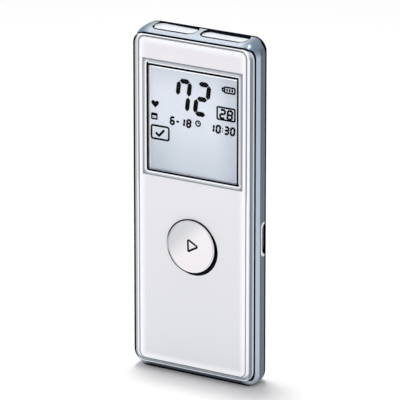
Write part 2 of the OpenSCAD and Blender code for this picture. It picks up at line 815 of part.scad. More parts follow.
module usb_contacts() color([0.86, 0.72, 0.35])
    for (i = [-2:2])
        translate([tongue_x0, face_y + port_depth + tongue_t/2,
                   port_z + i*contact_pitch - contact_w/2])
            cube([tongue_x1 - tongue_x0 - contact_w, contact_t, contact_w]);

// ---------------------------------------------------------------- battery

module battery_cell() color([0.70, 0.72, 0.76])
    translate([0, face_y + cell_mid, cell_z0]) linear_extrude(cell_h)
        round_rect(cell_w, cell_t, cell_corner);

module battery_board() color([0.80, 0.62, 0.20])
    block(cell_w - 2*guard_side, guard_h, cell_mid - guard_t/2, cell_mid + guard_t/2,
          0, guard_z0 + guard_h/2);

module battery_tape() color([0.95, 0.93, 0.80])
    block(cell_w - 2*tape_side, cell_h - 2*tape_end, cell_back, back_inner, 0, cell_z);

module battery_lead(x) {
    z0 = plug_z + plug_size[1]/2;
    translate([x, face_y + cell_mid, z0]) cylinder(r = lead_r, h = guard_z0 - z0);
}

module battery_lead_red() color([0.75, 0.10, 0.10]) battery_lead(plug_x - lead_x);

module battery_lead_black() color([0.10, 0.10, 0.10]) battery_lead(plug_x + lead_x);

module battery_plug() color([0.95, 0.95, 0.92])
    block(plug_size[0], plug_size[1], cell_mid - plug_t/2, cell_mid + plug_t/2, plug_x, plug_z);

// The plug's header on the board: a floor, two cheeks and an end wall.
module battery_socket() color([0.90, 0.88, 0.80]) {
    w = plug_size[0] + 2*header_wall;
    h = plug_size[1] + header_end;
    z = plug_z - header_end/2;
    low = cell_mid - plug_t/2 - seat;
    block(w, h, board_back, low, plug_x, z);
    for (side = [-1, 1])
        block(header_wall - seat, h, low - sliver, cell_mid + header_up,
              plug_x + side*(w - header_wall + seat)/2, z);
    block(w, header_end - seat, low - sliver, cell_mid + header_up,
          plug_x, z - (h - header_end + seat)/2);
}

// ---------------------------------------------------------------- back cover

module back_cover() color([0.88, 0.89, 0.91]) difference() {
    union() {
        difference() {
            union() {
                body_form(back_depths);
                inner_plug(seam_depth - lip_in, seam_depth + sliver);
            }
            back_room();
        }
        for (x = [-1, 1], z = screw_z)
            bar(boss_d/2, board_back, back_inner + sliver, x*screw_x, z);
        battery_fence();
    }
    for (x = [-1, 1], z = screw_z) {
        bar(screw_d/2 + screw_gap, board_back - cut, body_t + cut, x*screw_x, z);
        bar(head_d/2 + screw_gap, body_t - head_sink - head_t, body_t + cut, x*screw_x, z);
    }
    between(body_t - label_sink, body_t + cut, 0, button_z - label_down)
        round_rect(label_size[0], label_size[1], label_corner);
    socket_notch();
}

// The room in the back cover, which narrows towards the back wall.
module back_room() {
    w = cavity_w - 2*fit - 2*lip_wall;
    h = cavity_z1 - cavity_z0 - 2*fit - 2*lip_wall;
    hull() {
        between(seam_depth - lip_in - cut, seam_depth, 0, (cavity_z0 + cavity_z1)/2)
            round_rect(w, h, room_corner, $fn = form_fn);
        between(back_inner - sliver, back_inner, 0, (cavity_z0 + cavity_z1)/2)
            round_rect(w - 2*room_taper, h - 2*room_taper_end, room_corner, $fn = form_fn);
    }
}

// Three ribs that keep the battery in its place.
module battery_fence() {
    off = fence_gap + fence_w/2;
    for (side = [-1, 1])
        block(fence_w, cell_h - 2*fence_end, cell_front + fence_in, back_inner + sliver,
              side*(cell_w/2 + off), cell_z);
    block(fence_top, fence_w, cell_front + fence_in, back_inner + sliver, 0, cell_z1 + off);
}

// Room in the lip for the charging socket.
module socket_notch() {
    block(notch_w, socket_w + 2*notch_gap, seam_depth - lip_in - cut, seam_depth - notch_rim,
          cavity_w/2 - fit - lip_wall, port_z);
}

module case_screws() color([0.55, 0.56, 0.58])
    for (x = [-1, 1], z = screw_z) difference() {
        head_back = body_t - head_sink;
        union() {
            bar(head_d/2, head_back - head_t, head_back, x*screw_x, z);
            bar(screw_d/2, shank_tip, head_back - head_t + sliver, x*screw_x, z);
        }
        for (turn = [0, 90])
            translate([x*screw_x, face_y + head_back, z]) rotate([0, turn, 0])
                cube([slot_l, 2*slot_t, slot_w], center = true);
    }

// ---------------------------------------------------------------- the nodes

front_cover();
front_panel();
display_bezel();
display_window();
front_polariser();
lcd_front_glass();
lcd_rear_glass();
rear_polariser();
lcd_carrier();
elastomer_strip();
start_button();
switch_plunger();
switch_cover();
switch_dome();
switch_base();
mid_frame();
upper_electrode_left();
upper_electrode_right();
lower_electrode();
contact_spring_left();
contact_spring_right();
contact_spring_lower();
main_board();
microcontroller();
ecg_amplifier();
shield_can();
memory_chip();
charger_chip();
crystal();
radio_module();
chip_antenna();
passives();
usb_shell();
usb_tongue();
usb_contacts();
battery_cell();
battery_board();
battery_tape();
battery_lead_red();
battery_lead_black();
battery_plug();
battery_socket();
back_cover();
case_screws();
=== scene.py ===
# %% [markdown]
# # A pocket ECG recorder, dressed for its photograph
# The recorder is a slim white shell on a silver frame, with a small display, one round button and metal
# electrodes in its ends. Its solids are exact, so this lesson doesn't model them again. It softens their
# edges, prints the display, and gives every piece a finish that is worked out from its own coordinates.

# %% Load the fixed frame
import json
import math
from functools import partialmethod

import bmesh
import bpy
import numpy as np
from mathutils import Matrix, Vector


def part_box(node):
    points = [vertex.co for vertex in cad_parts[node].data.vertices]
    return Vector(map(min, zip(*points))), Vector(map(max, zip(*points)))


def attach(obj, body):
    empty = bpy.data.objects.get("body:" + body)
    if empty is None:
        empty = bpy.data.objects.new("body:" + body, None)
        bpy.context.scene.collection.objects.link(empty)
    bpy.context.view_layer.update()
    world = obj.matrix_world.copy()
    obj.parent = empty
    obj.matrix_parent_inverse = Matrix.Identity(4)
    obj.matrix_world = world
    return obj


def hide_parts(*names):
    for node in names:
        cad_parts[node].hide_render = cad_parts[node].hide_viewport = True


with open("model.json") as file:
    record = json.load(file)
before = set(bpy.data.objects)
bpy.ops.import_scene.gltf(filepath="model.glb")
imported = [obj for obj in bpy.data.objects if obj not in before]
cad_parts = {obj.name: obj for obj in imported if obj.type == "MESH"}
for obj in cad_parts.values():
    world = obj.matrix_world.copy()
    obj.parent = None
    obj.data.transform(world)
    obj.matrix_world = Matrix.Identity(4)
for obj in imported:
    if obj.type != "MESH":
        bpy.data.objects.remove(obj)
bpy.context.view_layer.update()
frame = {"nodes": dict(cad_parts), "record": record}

# %% [markdown]
# ## One ruler for the whole lesson
# Sizes are easier to read in millimetres, and most of them are depths behind the front face. The front face
# is the flat face of the panel, so its place is read from that node. Each finish takes its base colour from
# the frame's record, unless the photograph asks for another.

# %% Millimetres, depths and base colours
MM = 0.001
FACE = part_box("front_panel")[0].y
BASE = {m["slot"]: tuple(m["base_color"]) for m in frame["record"]["materials"]}


def behind(depth):
    """The Y, in metres, of a plane that lies depth millimetres behind the front face."""
    return FACE + depth * MM


def middle(node, axis):
    """The middle of a node's box along one axis, in metres: half the sum of its two ends."""
    low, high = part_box(node)
    return (low[axis] + high[axis]) / 2


def new_object(name, data):
    """An object at the origin, in the scene."""
    made = bpy.data.objects.new(name, data)
    bpy.context.scene.collection.objects.link(made)
    return made


BUTTON_Z = middle("start_button", 2) / MM
print("front face at Y =", round(FACE / MM, 3), "mm;", len(BASE), "base colours")

# %% [markdown]
# ## The camera
# The photograph looks down from the right with a long lens, so upright lines stay nearly parallel. The
# camera stands on a sphere round the point it looks at, and two angles and a distance place it. The point
# is moved a little along the picture's own right and up, which frames the recorder without a lens shift.

# %% Camera
AZIMUTH, ELEVATION, DISTANCE = 31.89, 17.57, 1.193  # degrees, degrees, metres
LENS, SENSOR = 392.1, 36  # millimetres
TARGET = (0.0, 0.5, 48.04)  # millimetres
SHIFT_RIGHT, SHIFT_UP = -0.504, 1.97  # millimetres in the picture's own directions


def camera_axes(azimuth, elevation):
    """The unit vectors back, right and up of a camera on a sphere, from its two angles in degrees.
    back = (sin a cos e, -cos a cos e, sin e), right = (cos a, sin a, 0), and up is back x right."""
    a, e = math.radians(azimuth), math.radians(elevation)
    back = np.array([math.sin(a) * math.cos(e), -math.cos(a) * math.cos(e), math.sin(e)])
    right = np.array([math.cos(a), math.sin(a), 0.0])
    return back, right, np.cross(back, right)


back, right, up = camera_axes(AZIMUTH, ELEVATION)
aim = (np.array(TARGET) + right * SHIFT_RIGHT + up * SHIFT_UP) * MM
camera_data = bpy.data.cameras.new("photo_camera")
camera_data.lens, camera_data.sensor_width = LENS, SENSOR
camera = new_object("photo_camera", camera_data)
camera.location = Vector(aim + back * DISTANCE)
camera.rotation_euler = Vector(-back).to_track_quat("-Z", "Y").to_euler()
bpy.context.scene.camera = camera
print("camera at", [round(v, 3) for v in camera.location])

# %% [markdown]
# ## Joining nodes by hand
# Every material here is a small tree of nodes. A helper that places a node and joins its sockets keeps each
# tree short.

# %% A helper for node trees
class Wiring:
    """Places nodes in one tree. A value that is a socket is linked, and any other value is set."""

    def __init__(self, tree):
        self.tree = tree

    def node(self, kind, inputs=None, **settings):
        made = self.tree.nodes.new("ShaderNode" + kind)
        for name, value in settings.items():
            setattr(made, name, value)
        self.fill(made, inputs or {})
        return made

    def fill(self, node, inputs):
        for socket, value in inputs.items():
            if isinstance(value, bpy.types.NodeSocket):
                self.tree.links.new(value, node.inputs[socket])
            else:
                node.inputs[socket].default_value = value

    def give(self, out, *values):
        """Links values to a group's outputs, in their order."""
        for value, socket in zip(values, out):
            self.tree.links.new(value, socket)

    def math(self, operation, first, *others):
        """One operation on a value and the next one; further values are applied to the result in turn."""
        for other in others or (0.0,):
            first = self.node("Math", {0: first, 1: other}, operation=operation).outputs[0]
        return first

    def inverse(self, mask):
        """What a mask leaves out: 1 - mask."""
        return self.minus(1.0, mask)

    def step(self, value, start, end, low=0.0, high=1.0):
        """A smooth ramp: low before start, high after end."""
        return self.node("MapRange", {0: value, 1: start, 2: end, 3: low, 4: high},
                         interpolation_type="SMOOTHSTEP").outputs[0]

    def ramp(self, value, start, end, low=0.0, high=1.0):
        """The same ramp, with its start and end in millimetres."""
        return self.step(value, start * MM, end * MM, low, high)

    def axes(self, vector):
        """The X, Y and Z of a vector."""
        return tuple(self.node("SeparateXYZ", {0: vector}).outputs)

    def length(self, vector):
        return self.node("VectorMath", {0: vector}, operation="LENGTH").outputs["Value"]

    def noise(self, vector, scale, detail, **more):
        return self.node("TexNoise", {"Vector": vector, "Scale": scale, "Detail": detail, **more}).outputs[0]

    def mix(self, amount, a, b):
        """Two colours mixed by amount; a colour is a socket or three numbers."""
        full = [c if isinstance(c, bpy.types.NodeSocket) else (*c, 1.0) for c in (a, b)]
        return self.node("Mix", {"Factor": amount, 6: full[0], 7: full[1]},
                         data_type="RGBA", clamp_result=True).outputs[2]

    def group(self, name, inputs):
        return self.node("Group", inputs, node_tree=bpy.data.node_groups[name])


# Short names for the operations, so that a formula reads as w.plus(a, b) or w.times(a, b, c).
for word, operation in {"plus": "ADD", "minus": "SUBTRACT", "times": "MULTIPLY", "most": "MAXIMUM",
                        "least": "MINIMUM", "span": "ABSOLUTE"}.items():
    setattr(Wiring, word, partialmethod(Wiring.math, operation))


def shared_effect(name, inputs, outputs):
    """An empty node group with named sockets; returns its wiring, its given values and its output sockets."""
    tree = bpy.data.node_groups.new(name, "ShaderNodeTree")
    for label, kind, value in inputs:
        made = tree.interface.new_socket(label, in_out="INPUT", socket_type="NodeSocket" + kind)
        if value is not None:
            made.default_value = value
    for label in outputs:
        tree.interface.new_socket(label, in_out="OUTPUT", socket_type="NodeSocketFloat")
    given = tree.nodes.new("NodeGroupInput").outputs[:len(inputs)]
    return Wiring(tree), given, tree.nodes.new("NodeGroupOutput").inputs


print("node helpers ready")

# %% [markdown]
# ## Floor and light
# The floor is plain and pale. It adds a little light of its own for the camera, and more of it further
# away, so that it reads as white paper, while the recorder's shadow still shows near by. One soft lamp
# hangs high above, a little to the left and behind, which makes the short shadow in front of the base. A
# second one stands low in front and lights the face, but hardly the floor. An even sky fills in, and it is
# darker on the right, where the photograph's silver frame is dark.

# %% Floor
PAPER = (0.84, 0.825, 0.82, 1)
NEAR, FAR = 40, 220  # millimetres from the origin, between which the floor's own light doubles


def paper_floor(glow):
    """A white matt floor that the camera, mirrors and glass see brighter than it is lit, most so far away."""
    material = bpy.data.materials.new("paper_floor")
    material.use_nodes = True
    material.node_tree.nodes.clear()
    w = Wiring(material.node_tree)
    path = w.node("LightPath").outputs
    seen = w.most(path["Is Camera Ray"], path["Is Glossy Ray"], path["Is Transmission Ray"])
    matt = w.node("BsdfDiffuse", {"Color": PAPER}).outputs[0]
    away = w.length(w.node("TexCoord").outputs["Object"])
    light = w.times(seen, w.ramp(away, NEAR, FAR, glow / 2, glow))
    shine = w.node("Emission", {"Color": (1, 1, 1, 1), "Strength": light}).outputs[0]
    both = w.node("AddShader", {0: matt, 1: shine}).outputs[0]
    w.node("OutputMaterial", {"Surface": both})
    return material


floor_mesh = bpy.data.meshes.new("floor")
REACH = 3  # metres from the middle to each side
corners = [(x * REACH, y * REACH, 0) for x, y in ((-1, -1), (1, -1), (1, 1), (-1, 1))]
floor_mesh.from_pydata(corners, [], [(0, 1, 2, 3)])
floor_mesh.materials.append(paper_floor(0.09))
floor = new_object("floor", floor_mesh)
print("floor", [round(v, 1) for v in floor.dimensions], "m")


# %% Sky
SKY_LEFT, SKY_RIGHT, LEFT_WARDS = (0.66, 0.67, 0.68), (0.31, 0.335, 0.37), (-0.85, -0.10, 0.5)


def soft_sky(bright, dim, towards):
    """An even sky: bright in one direction, dim opposite to it, and plain white where the camera sees it."""
    world = bpy.data.worlds.new("soft_sky")
    world.use_nodes = True
    world.node_tree.nodes.clear()
    w = Wiring(world.node_tree)
    where = w.node("TexCoord").outputs["Generated"]
    side = w.node("VectorMath", {0: where, 1: tuple(Vector(towards).normalized())},
                  operation="DOT_PRODUCT").outputs["Value"]
    colour = w.mix(w.step(side, -0.9, 0.7), dim, bright)
    camera_ray = w.node("LightPath").outputs["Is Camera Ray"]
    shown = w.mix(camera_ray, colour, (1, 1, 1))
    sky = w.node("Background", {"Color": shown, "Strength": 1.0}).outputs[0]
    w.node("OutputWorld", {"Surface": sky})
    return world


bpy.context.scene.world = soft_sky(SKY_LEFT, SKY_RIGHT, LEFT_WARDS)
print("world:", bpy.context.scene.world.name)


# %% Lamps
LAMP_AIM = (0, 0, 0.05)


def soft_lamp(name, place, size, watts):
    """A square lamp that faces the middle of the recorder from a place given in metres."""
    data = bpy.data.lights.new(name, "AREA")
    data.shape, data.size, data.energy = "SQUARE", size, watts
    lamp = new_object(name, data)
    lamp.location = place
    lamp.rotation_euler = (Vector(LAMP_AIM) - Vector(place)).to_track_quat("-Z", "Y").to_euler()


soft_lamp("top_lamp", (-0.07, 0.068, 0.90), 0.13, 4.9)
soft_lamp("front_lamp", (-0.04, -1.00, 0.07), 0.50, 4.75)
print("lamps:", [light.name for light in bpy.data.lights])

# %% [markdown]
# ## Effects that several finishes share
# Moulded plastic has a fine grain, handled parts carry faint smudges and hair scratches, silver paint holds
# flakes, and rolled metal has a brushed line. Each effect is one node group, so a change to it reaches
# every material that uses it. One more group measures how far a point lies from a rounded rectangle, the
# outline that nearly every piece of this recorder follows.

# %% Moulded grain and handling marks
POINT = ("Vector", "Vector", None)

w, (point, scale), out = shared_effect("moulded_grain", [POINT, ("Scale", "Float", 900.0)],
                                       ["Height", "Tone"])
fine, broad = w.noise(point, scale, 3.0), w.noise(point, 45.0, 2.0)
w.give(out, fine, w.plus(w.times(fine, 0.35), w.times(broad, 0.65)))

w, (point, amount), out = shared_effect("handling_marks", [POINT, ("Amount", "Float", 0.5)], ["Mask"])
smudge = w.noise(point, 110.0, 4.0, Distortion=1.2)
stretched = w.node("Mapping", {"Vector": point, "Rotation": (0, 0.6, 0), "Scale": (60, 300, 2400)})
hair = w.noise(stretched.outputs[0], 1.0, 1.0)
w.give(out, w.times(w.most(w.step(smudge, 0.55, 0.8), w.step(hair, 0.70, 0.76)), amount))
print("groups:", [g.name for g in bpy.data.node_groups])

# %% Brushed lines and paint flakes
w, (point, along), out = shared_effect("brushed_lines", [POINT, ("Along", "Vector", (60, 4000, 4000))],
                                       ["Height", "Tone"])
drawn = w.node("Mapping", {"Vector": point, "Scale": along}).outputs[0]
lines, cloud = w.noise(drawn, 1.0, 3.0, Roughness=0.6), w.noise(point, 160.0, 1.0)
w.give(out, lines, w.plus(w.times(lines, 0.7), w.times(cloud, 0.3)))

w, (point, scale), out = shared_effect("paint_flakes", [POINT, ("Scale", "Float", 5000.0)],
                                       ["Tone", "Height"])
cells = w.node("TexVoronoi", {"Vector": point, "Scale": scale}).outputs["Color"]
w.give(out, w.node("RGBToBW", {0: cells}).outputs[0], w.noise(point, 420.0, 1.0))
print("groups:", len(bpy.data.node_groups))

# %% Distance from a rounded rectangle
w, (point, mid_z, half_x, half_z, corner), out = shared_effect("rounded_distance", [
    POINT, ("Middle Z", "Float", 0.0), ("Half X", "Float", 0.01), ("Half Z", "Float", 0.01),
    ("Corner", "Float", 0.001)], ["Outside", "Side", "Z", "Y"])
# With q = |p| - (half - corner), the distance is |max(q, 0)| + min(max(qx, qz), 0) - corner, below 0 inside.
# Side is |x| - half x, which tells a point near a side from one near an end.
x, y, z = w.axes(point)
ax, az = w.span(x), w.span(w.minus(z, mid_z))
qx, qz = w.minus(ax, w.minus(half_x, corner)), w.minus(az, w.minus(half_z, corner))
px, pz = w.most(qx, 0.0), w.most(qz, 0.0)
reach = w.math("SQRT", w.plus(w.times(px, px), w.times(pz, pz)))
inside = w.least(w.most(qx, qz), 0.0)
w.give(out, w.minus(w.plus(reach, inside), corner), w.minus(ax, half_x), z, y)
print("groups:", len(bpy.data.node_groups))

# %% [markdown]
# ## Two families of finish
# Most pieces are either moulded plastic or metal, so two builders make the usual finishes. The one for
# plastic also takes a paint function, which lays lines and bands over the base colour before it reaches the
# shader.

# %% Builders for plastic and metal
BLACK = (0.004, 0.006, 0.010)


def start_finish(name):
    """A new material with a Principled shader; returns it, its wiring, coordinates and the shader."""
    material = bpy.data.materials.new(name)
    material.use_nodes = True
    w = Wiring(material.node_tree)
    shader = material.node_tree.nodes["Principled BSDF"]
    return material, w, w.node("TexCoord").outputs["Object"], shader


def moulded(name, slot, roughness, grain=900.0, tone=0.05, bump=0.02, marks=0.25, metallic=0.0, coat=0.0,
            paint=None, colour=None):
    """Moulded plastic: the grain varies the colour and lifts the surface, and handling marks dull the gloss.
    A paint function gives the colour and a mask of what is black, or None. Black loses its gloss."""
    material, w, where, shader = start_finish(name)
    base = colour or BASE[slot]
    skin = w.group("moulded_grain", {"Vector": where, "Scale": grain}).outputs
    worn = w.group("handling_marks", {"Vector": where, "Amount": marks}).outputs[0]
    shade = w.mix(w.step(skin["Tone"], 0.35, 0.65), tuple(c * (1 - 2 * tone) for c in base), base)
    shade, black = paint(w, where, shade) if paint else (shade, None)
    w.fill(shader, {"Metallic": metallic, "Coat Weight": coat, "Coat Roughness": 0.08})
    if black is not None:
        shade = w.mix(black, shade, BLACK)
        w.fill(shader, {"Metallic": w.most(black, metallic), "Coat Weight": w.times(w.inverse(black), coat),
                        "Specular Tint": (0.1, 0.1, 0.1, 1.0)})
    lift = w.node("Bump", {"Height": skin["Height"], "Strength": bump, "Distance": 0.2 * MM})
    w.fill(shader, {"Base Color": shade, "Normal": lift.outputs[0],
                    "Roughness": w.plus(w.times(worn, 0.25), roughness)})
    return material


def brushed(name, slot, roughness, along=(60, 4000, 4000), tone=0.12, bump=0.05, metallic=1.0, colour=None):
    """Rolled or brushed metal: fine lines along one direction vary the colour and the gloss."""
    material, w, where, shader = start_finish(name)
    base = colour or BASE[slot]
    skin = w.group("brushed_lines", {"Vector": where, "Along": along}).outputs
    worn = w.group("handling_marks", {"Vector": where, "Amount": 0.3}).outputs[0]
    shade = w.mix(w.step(skin["Tone"], 0.3, 0.7), tuple(c * (1 - 2 * tone) for c in base), base)
    gloss = w.plus(w.times(skin["Tone"], 0.15), w.times(worn, 0.2), roughness - 0.075)
    lift = w.node("Bump", {"Height": skin["Height"], "Strength": bump, "Distance": 0.1 * MM})
    w.fill(shader, {"Base Color": shade, "Roughness": gloss, "Normal": lift.outputs[0], "Metallic": metallic})
    return material


FINISH = {}
print("builders ready")

# %% [markdown]
# ## The white cover and the pale panel
# The cover is a glossy white shell. Painted shade makes its slim bevel grey along the sides, draws black
# lines at the left rim, at the upper rim and in the seam against the frame, and lays a grey strip along its
# lower end. All of these follow the cover's outline, so the rounded distance finds them. Painted shade also
# makes a fine grey groove round the panel. The panel itself is cooler towards its lower end and paler at its
# edges. Beside the button it carries a painted shadow: a fine dark line on the left and a dark crescent on
# the right.

# %% Lines on the cover
COVER_CORNER, PANEL_CORNER = 3.2, 1.8  # millimetres
# The three greys are painted shade: on the side bevels, in the groove round the panel and on the lower strip.
BEVEL_SHADE, GROOVE_SHADE, STRIP_SHADE = (0.10, 0.138, 0.185), (0.24, 0.26, 0.29), (0.27, 0.30, 0.33)


def rounded(w, vector, z0, z1, half_x, corner):
    """The rounded distance from a rectangle between two heights, in metres."""
    return w.group("rounded_distance", {"Vector": vector, "Middle Z": (z0 + z1) / 2, "Half X": half_x,
                                        "Half Z": (z1 - z0) / 2, "Corner": corner}).outputs


def box_outline(w, where, node, corner):
    """The rounded distance from a node's own outline, seen from the front."""
    low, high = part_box(node)
    return rounded(w, where, low.z, high.z, (high.x - low.x) / 2, corner * MM)


def cover_bevel_shade(w, out, at):
    """A mask of painted shade on the bevel: the last millimetre inside the long sides, wider and weaker on
    the left.
    """
    inner = w.plus(out, w.times(at["left"], 0.62 * MM))
    bevel = w.times(w.ramp(inner, -1.02, -0.86), w.ramp(out, -0.02, -0.08))
    outwards = w.ramp(out, -0.8, -0.1, 0.93, 0.80)
    return w.times(bevel, at["side"], outwards, at["front"], w.inverse(w.times(at["left"], 0.25)))


def cover_groove_shade(w, where, at):
    """A mask of painted shade in the groove round the panel: 0.28 mm wide, 0.48 mm at the upper end, none on
    the left.
    """
    outside = box_outline(w, where, "front_panel", PANEL_CORNER)["Outside"]
    width = w.plus(w.times(at["high"], at["end"], 0.20 * MM), 0.28 * MM)
    groove = w.ramp(w.minus(outside, width), 0.10, -0.04)
    return w.times(groove, w.inverse(w.times(at["left"], at["side"])))


def cover_black_shade(w, out, at):
    """A mask of black painted shade: at the left rim, the upper rim, and in the seam, which is deeper at the
    sides.
    """
    rim = w.times(w.ramp(out, -0.76, -0.68), at["left"], at["side"], at["front"])
    top = w.times(w.ramp(out, -0.26, -0.18), at["high"], at["end"])
    start = w.plus(w.times(at["side"], 0.44 * MM), behind(0.40))
    seam = w.ramp(w.minus(at["y"], start), -0.03, 0.03)
    return w.most(rim, top, w.times(seam, w.ramp(out, -0.3, -0.2)))


def cover_paint(w, where, shade):
    """Painted shade: grey on the side bevels, in the groove round the panel and on a lower strip, and black
    lines.
    """
    edge = box_outline(w, where, "front_cover", COVER_CORNER)
    out = edge["Outside"]
    half_way = middle("front_cover", 2)
    at = {"left": w.ramp(w.axes(where)[0], 1, -1), "high": w.step(edge["Z"], half_way, half_way + 10 * MM),
          "side": w.ramp(edge["Side"], -2.2, -0.7), "front": w.step(edge["Y"], behind(0.44), behind(0.36)),
          "y": edge["Y"]}
    at["end"] = w.inverse(at["side"])
    # Painted shade on the bevel along the sides.
    shade = w.mix(cover_bevel_shade(w, out, at), shade, BEVEL_SHADE)
    # Painted shade in the groove round the panel.
    shade = w.mix(cover_groove_shade(w, where, at), shade, GROOVE_SHADE)
    # Painted shade on a strip of the lower end's bevel, which faces down.
    strip = w.times(w.ramp(out, -0.34, -0.44), w.ramp(out, -1.3, -1.1))
    shade = w.mix(w.times(strip, w.inverse(at["high"]), at["end"]), shade, STRIP_SHADE)
    # The black is painted shade at the rims and in the seam against the frame.
    return shade, cover_black_shade(w, out, at)


print("cover corner", COVER_CORNER, "mm, panel corner", PANEL_CORNER, "mm")


# %% Cover and panel finishes
# The third colour is painted shade in the gap beside the button.
PANEL_LOW, PANEL_EDGE, GAP_SHADE_BLACK = (0.69, 0.70, 0.73), (0.93, 0.935, 0.95), (0.02, 0.03, 0.04)


def button_radius(w, where, right=0.0, down=0.0):
    """Distance from an axis beside the button's own: the length of (x - right, z - button's z + down)."""
    moved = w.node("VectorMath", {0: where, 1: (right * MM, 0, (BUTTON_Z - down) * MM)},
                   operation="SUBTRACT").outputs[0]
    flat = w.node("VectorMath", {0: moved, 1: (1, 0, 1)}, operation="MULTIPLY").outputs[0]
    return w.length(flat)


def button_gap_shade(w, where):
    """A mask of painted shade in the gap left of the button: a disc moved to the left, faintest at half
    height.
    """
    x, _, z = w.axes(where)
    disc = w.ramp(button_radius(w, where, -0.46, 0.20), 7.86, 7.74)
    level = w.span(w.minus(z, (BUTTON_Z - 0.6) * MM))
    return w.times(disc, w.ramp(x, 1, -3), w.ramp(level, 0.5, 3.5, 0.45, 1.0))


def panel_paint(w, where, shade):
    """A slow fade to a cooler grey towards the lower end, paler edges, and a painted shadow beside the
    button.
    """
    edge = box_outline(w, where, "front_panel", PANEL_CORNER)
    shade = w.mix(w.times(w.ramp(edge["Z"], 85, 10), 0.75), shade, PANEL_LOW)
    shade = w.mix(w.ramp(edge["Outside"], -2.3, -0.4, 0.0, 0.85), shade, PANEL_EDGE)
    # A painted shadow of the proud button: a black crescent to its lower right.
    button_shadow = w.ramp(button_radius(w, where, 0.58, 0.70), 7.68, 7.58)
    return w.mix(button_gap_shade(w, where), shade, GAP_SHADE_BLACK), button_shadow


FINISH["front_cover"] = moulded("cover_gloss", "cover_white", 0.22, tone=0.008, bump=0.01, marks=0.08,
                                coat=0.5, paint=cover_paint)
FINISH["front_panel"] = moulded("panel_satin", "panel_pale", 0.26, grain=1400.0, tone=0.008, bump=0.01,
                                marks=0.05, coat=0.3, paint=panel_paint, colour=(0.805, 0.785, 0.812))
print("finishes:", sorted(FINISH))

# %% [markdown]
# ## The silver frame
# The frame is plastic with a silver paint. Flakes in the paint give it a faint sparkle and a bluish grey.
# Painted shade makes it deeper on its sides, at its base and at its upper corners, and black in its seams,
# round the electrode openings and in a band in front of the back cover. A painted highlight makes its front
# slope and a lip round the socket paler. A real metal would mirror the white floor, so the paint is only
# partly metallic.

# %% Lines on the frame
PLATES = ("upper_electrode_left", "upper_electrode_right")
WELL_BACK, WELL_CORNER, WELL_PLAY = 7.2, 1.9, 0.05  # millimetres


def well_outline(w, where, node, front):
    """Distance from an upper electrode's opening, seen from above: a rounded rectangle laid in X and Y."""
    low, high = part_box(node)
    x, y, _ = w.axes(where)
    laid = w.node("CombineXYZ", {0: w.minus(x, middle(node, 0)), 1: 0.0, 2: y}).outputs[0]
    half_x = (high.x - low.x) / 2 + WELL_PLAY * MM
    return rounded(w, laid, behind(front), behind(WELL_BACK), half_x, WELL_CORNER * MM)["Outside"]


def well_shade_and_strip(w, where):
    """Masks of the black painted shade round both openings and on their walls, and of the light strip that
    ends it just above the plates."""
    x, y, z = w.axes(where)
    outline, opening = (w.least(*(well_outline(w, where, node, front) for node in PLATES))
                        for front in (2.33, 2.60))
    # Black painted shade round the openings and on their walls.
    well = w.times(w.ramp(outline, 0.24, 0.14), w.ramp(z, 96.5, 96.8))
    falling = w.plus(z, w.times(x, 0.02))
    strip = w.times(w.ramp(opening, 0.18, 0.12), w.ramp(falling, 97.49, 97.41),
                    w.step(y, behind(4.0), behind(5.0)))
    return w.times(well, w.inverse(strip)), strip


def socket_highlight(w, x, y, z):
    """A mask of the painted highlight round the socket: within 1.3 mm of a slot of half width 0.9 mm and half
    height 3.6 mm.
    """
    beyond = [w.most(w.minus(w.span(w.minus(value, middle("usb_shell", axis))), half * MM), 0.0)
              for axis, value, half in ((1, y, 0.9), (2, z, 3.6))]
    reach = w.length(w.node("CombineXYZ", {0: beyond[0], 1: beyond[1]}).outputs[0])
    return w.times(w.ramp(reach, 1.32, 1.22), w.ramp(x, 18.0, 18.2))


def frame_seam_shade(w, across, y, z):
    """A mask of black painted shade: in the seam against the cover, in the band before the back cover, and on
    the foot.
    """
    side = w.ramp(across, 17.0, 18.6)
    near = w.minus(w.plus(w.times(side, 0.46 * MM), behind(1.10)), y)
    far = w.minus(y, w.minus(behind(6.75), w.times(side, 1.05 * MM)))
    return w.most(w.ramp(near, -0.05, 0.05), w.ramp(far, -0.10, 0.10), w.ramp(z, 1.1, 0.3))


print("electrode openings:", len(PLATES))


# %% Frame finish
# Besides the flakes and the strip, these colours are painted light: shade on the sides, the upper corners and
# the foot, and a highlight on the front slope and round the socket.
FLAKE, SIDE_SHADE, SLOPE_HIGHLIGHT = (0.80, 0.85, 0.92), (0.095, 0.13, 0.175), (0.59, 0.68, 0.79)
CORNER_SHADE, FOOT_SHADE, LIP_HIGHLIGHT, STRIP = (0.14, 0.19, 0.25), (0.03, 0.055, 0.085), (0.93, 0.94, 0.95), (0.90, 0.91, 0.92)


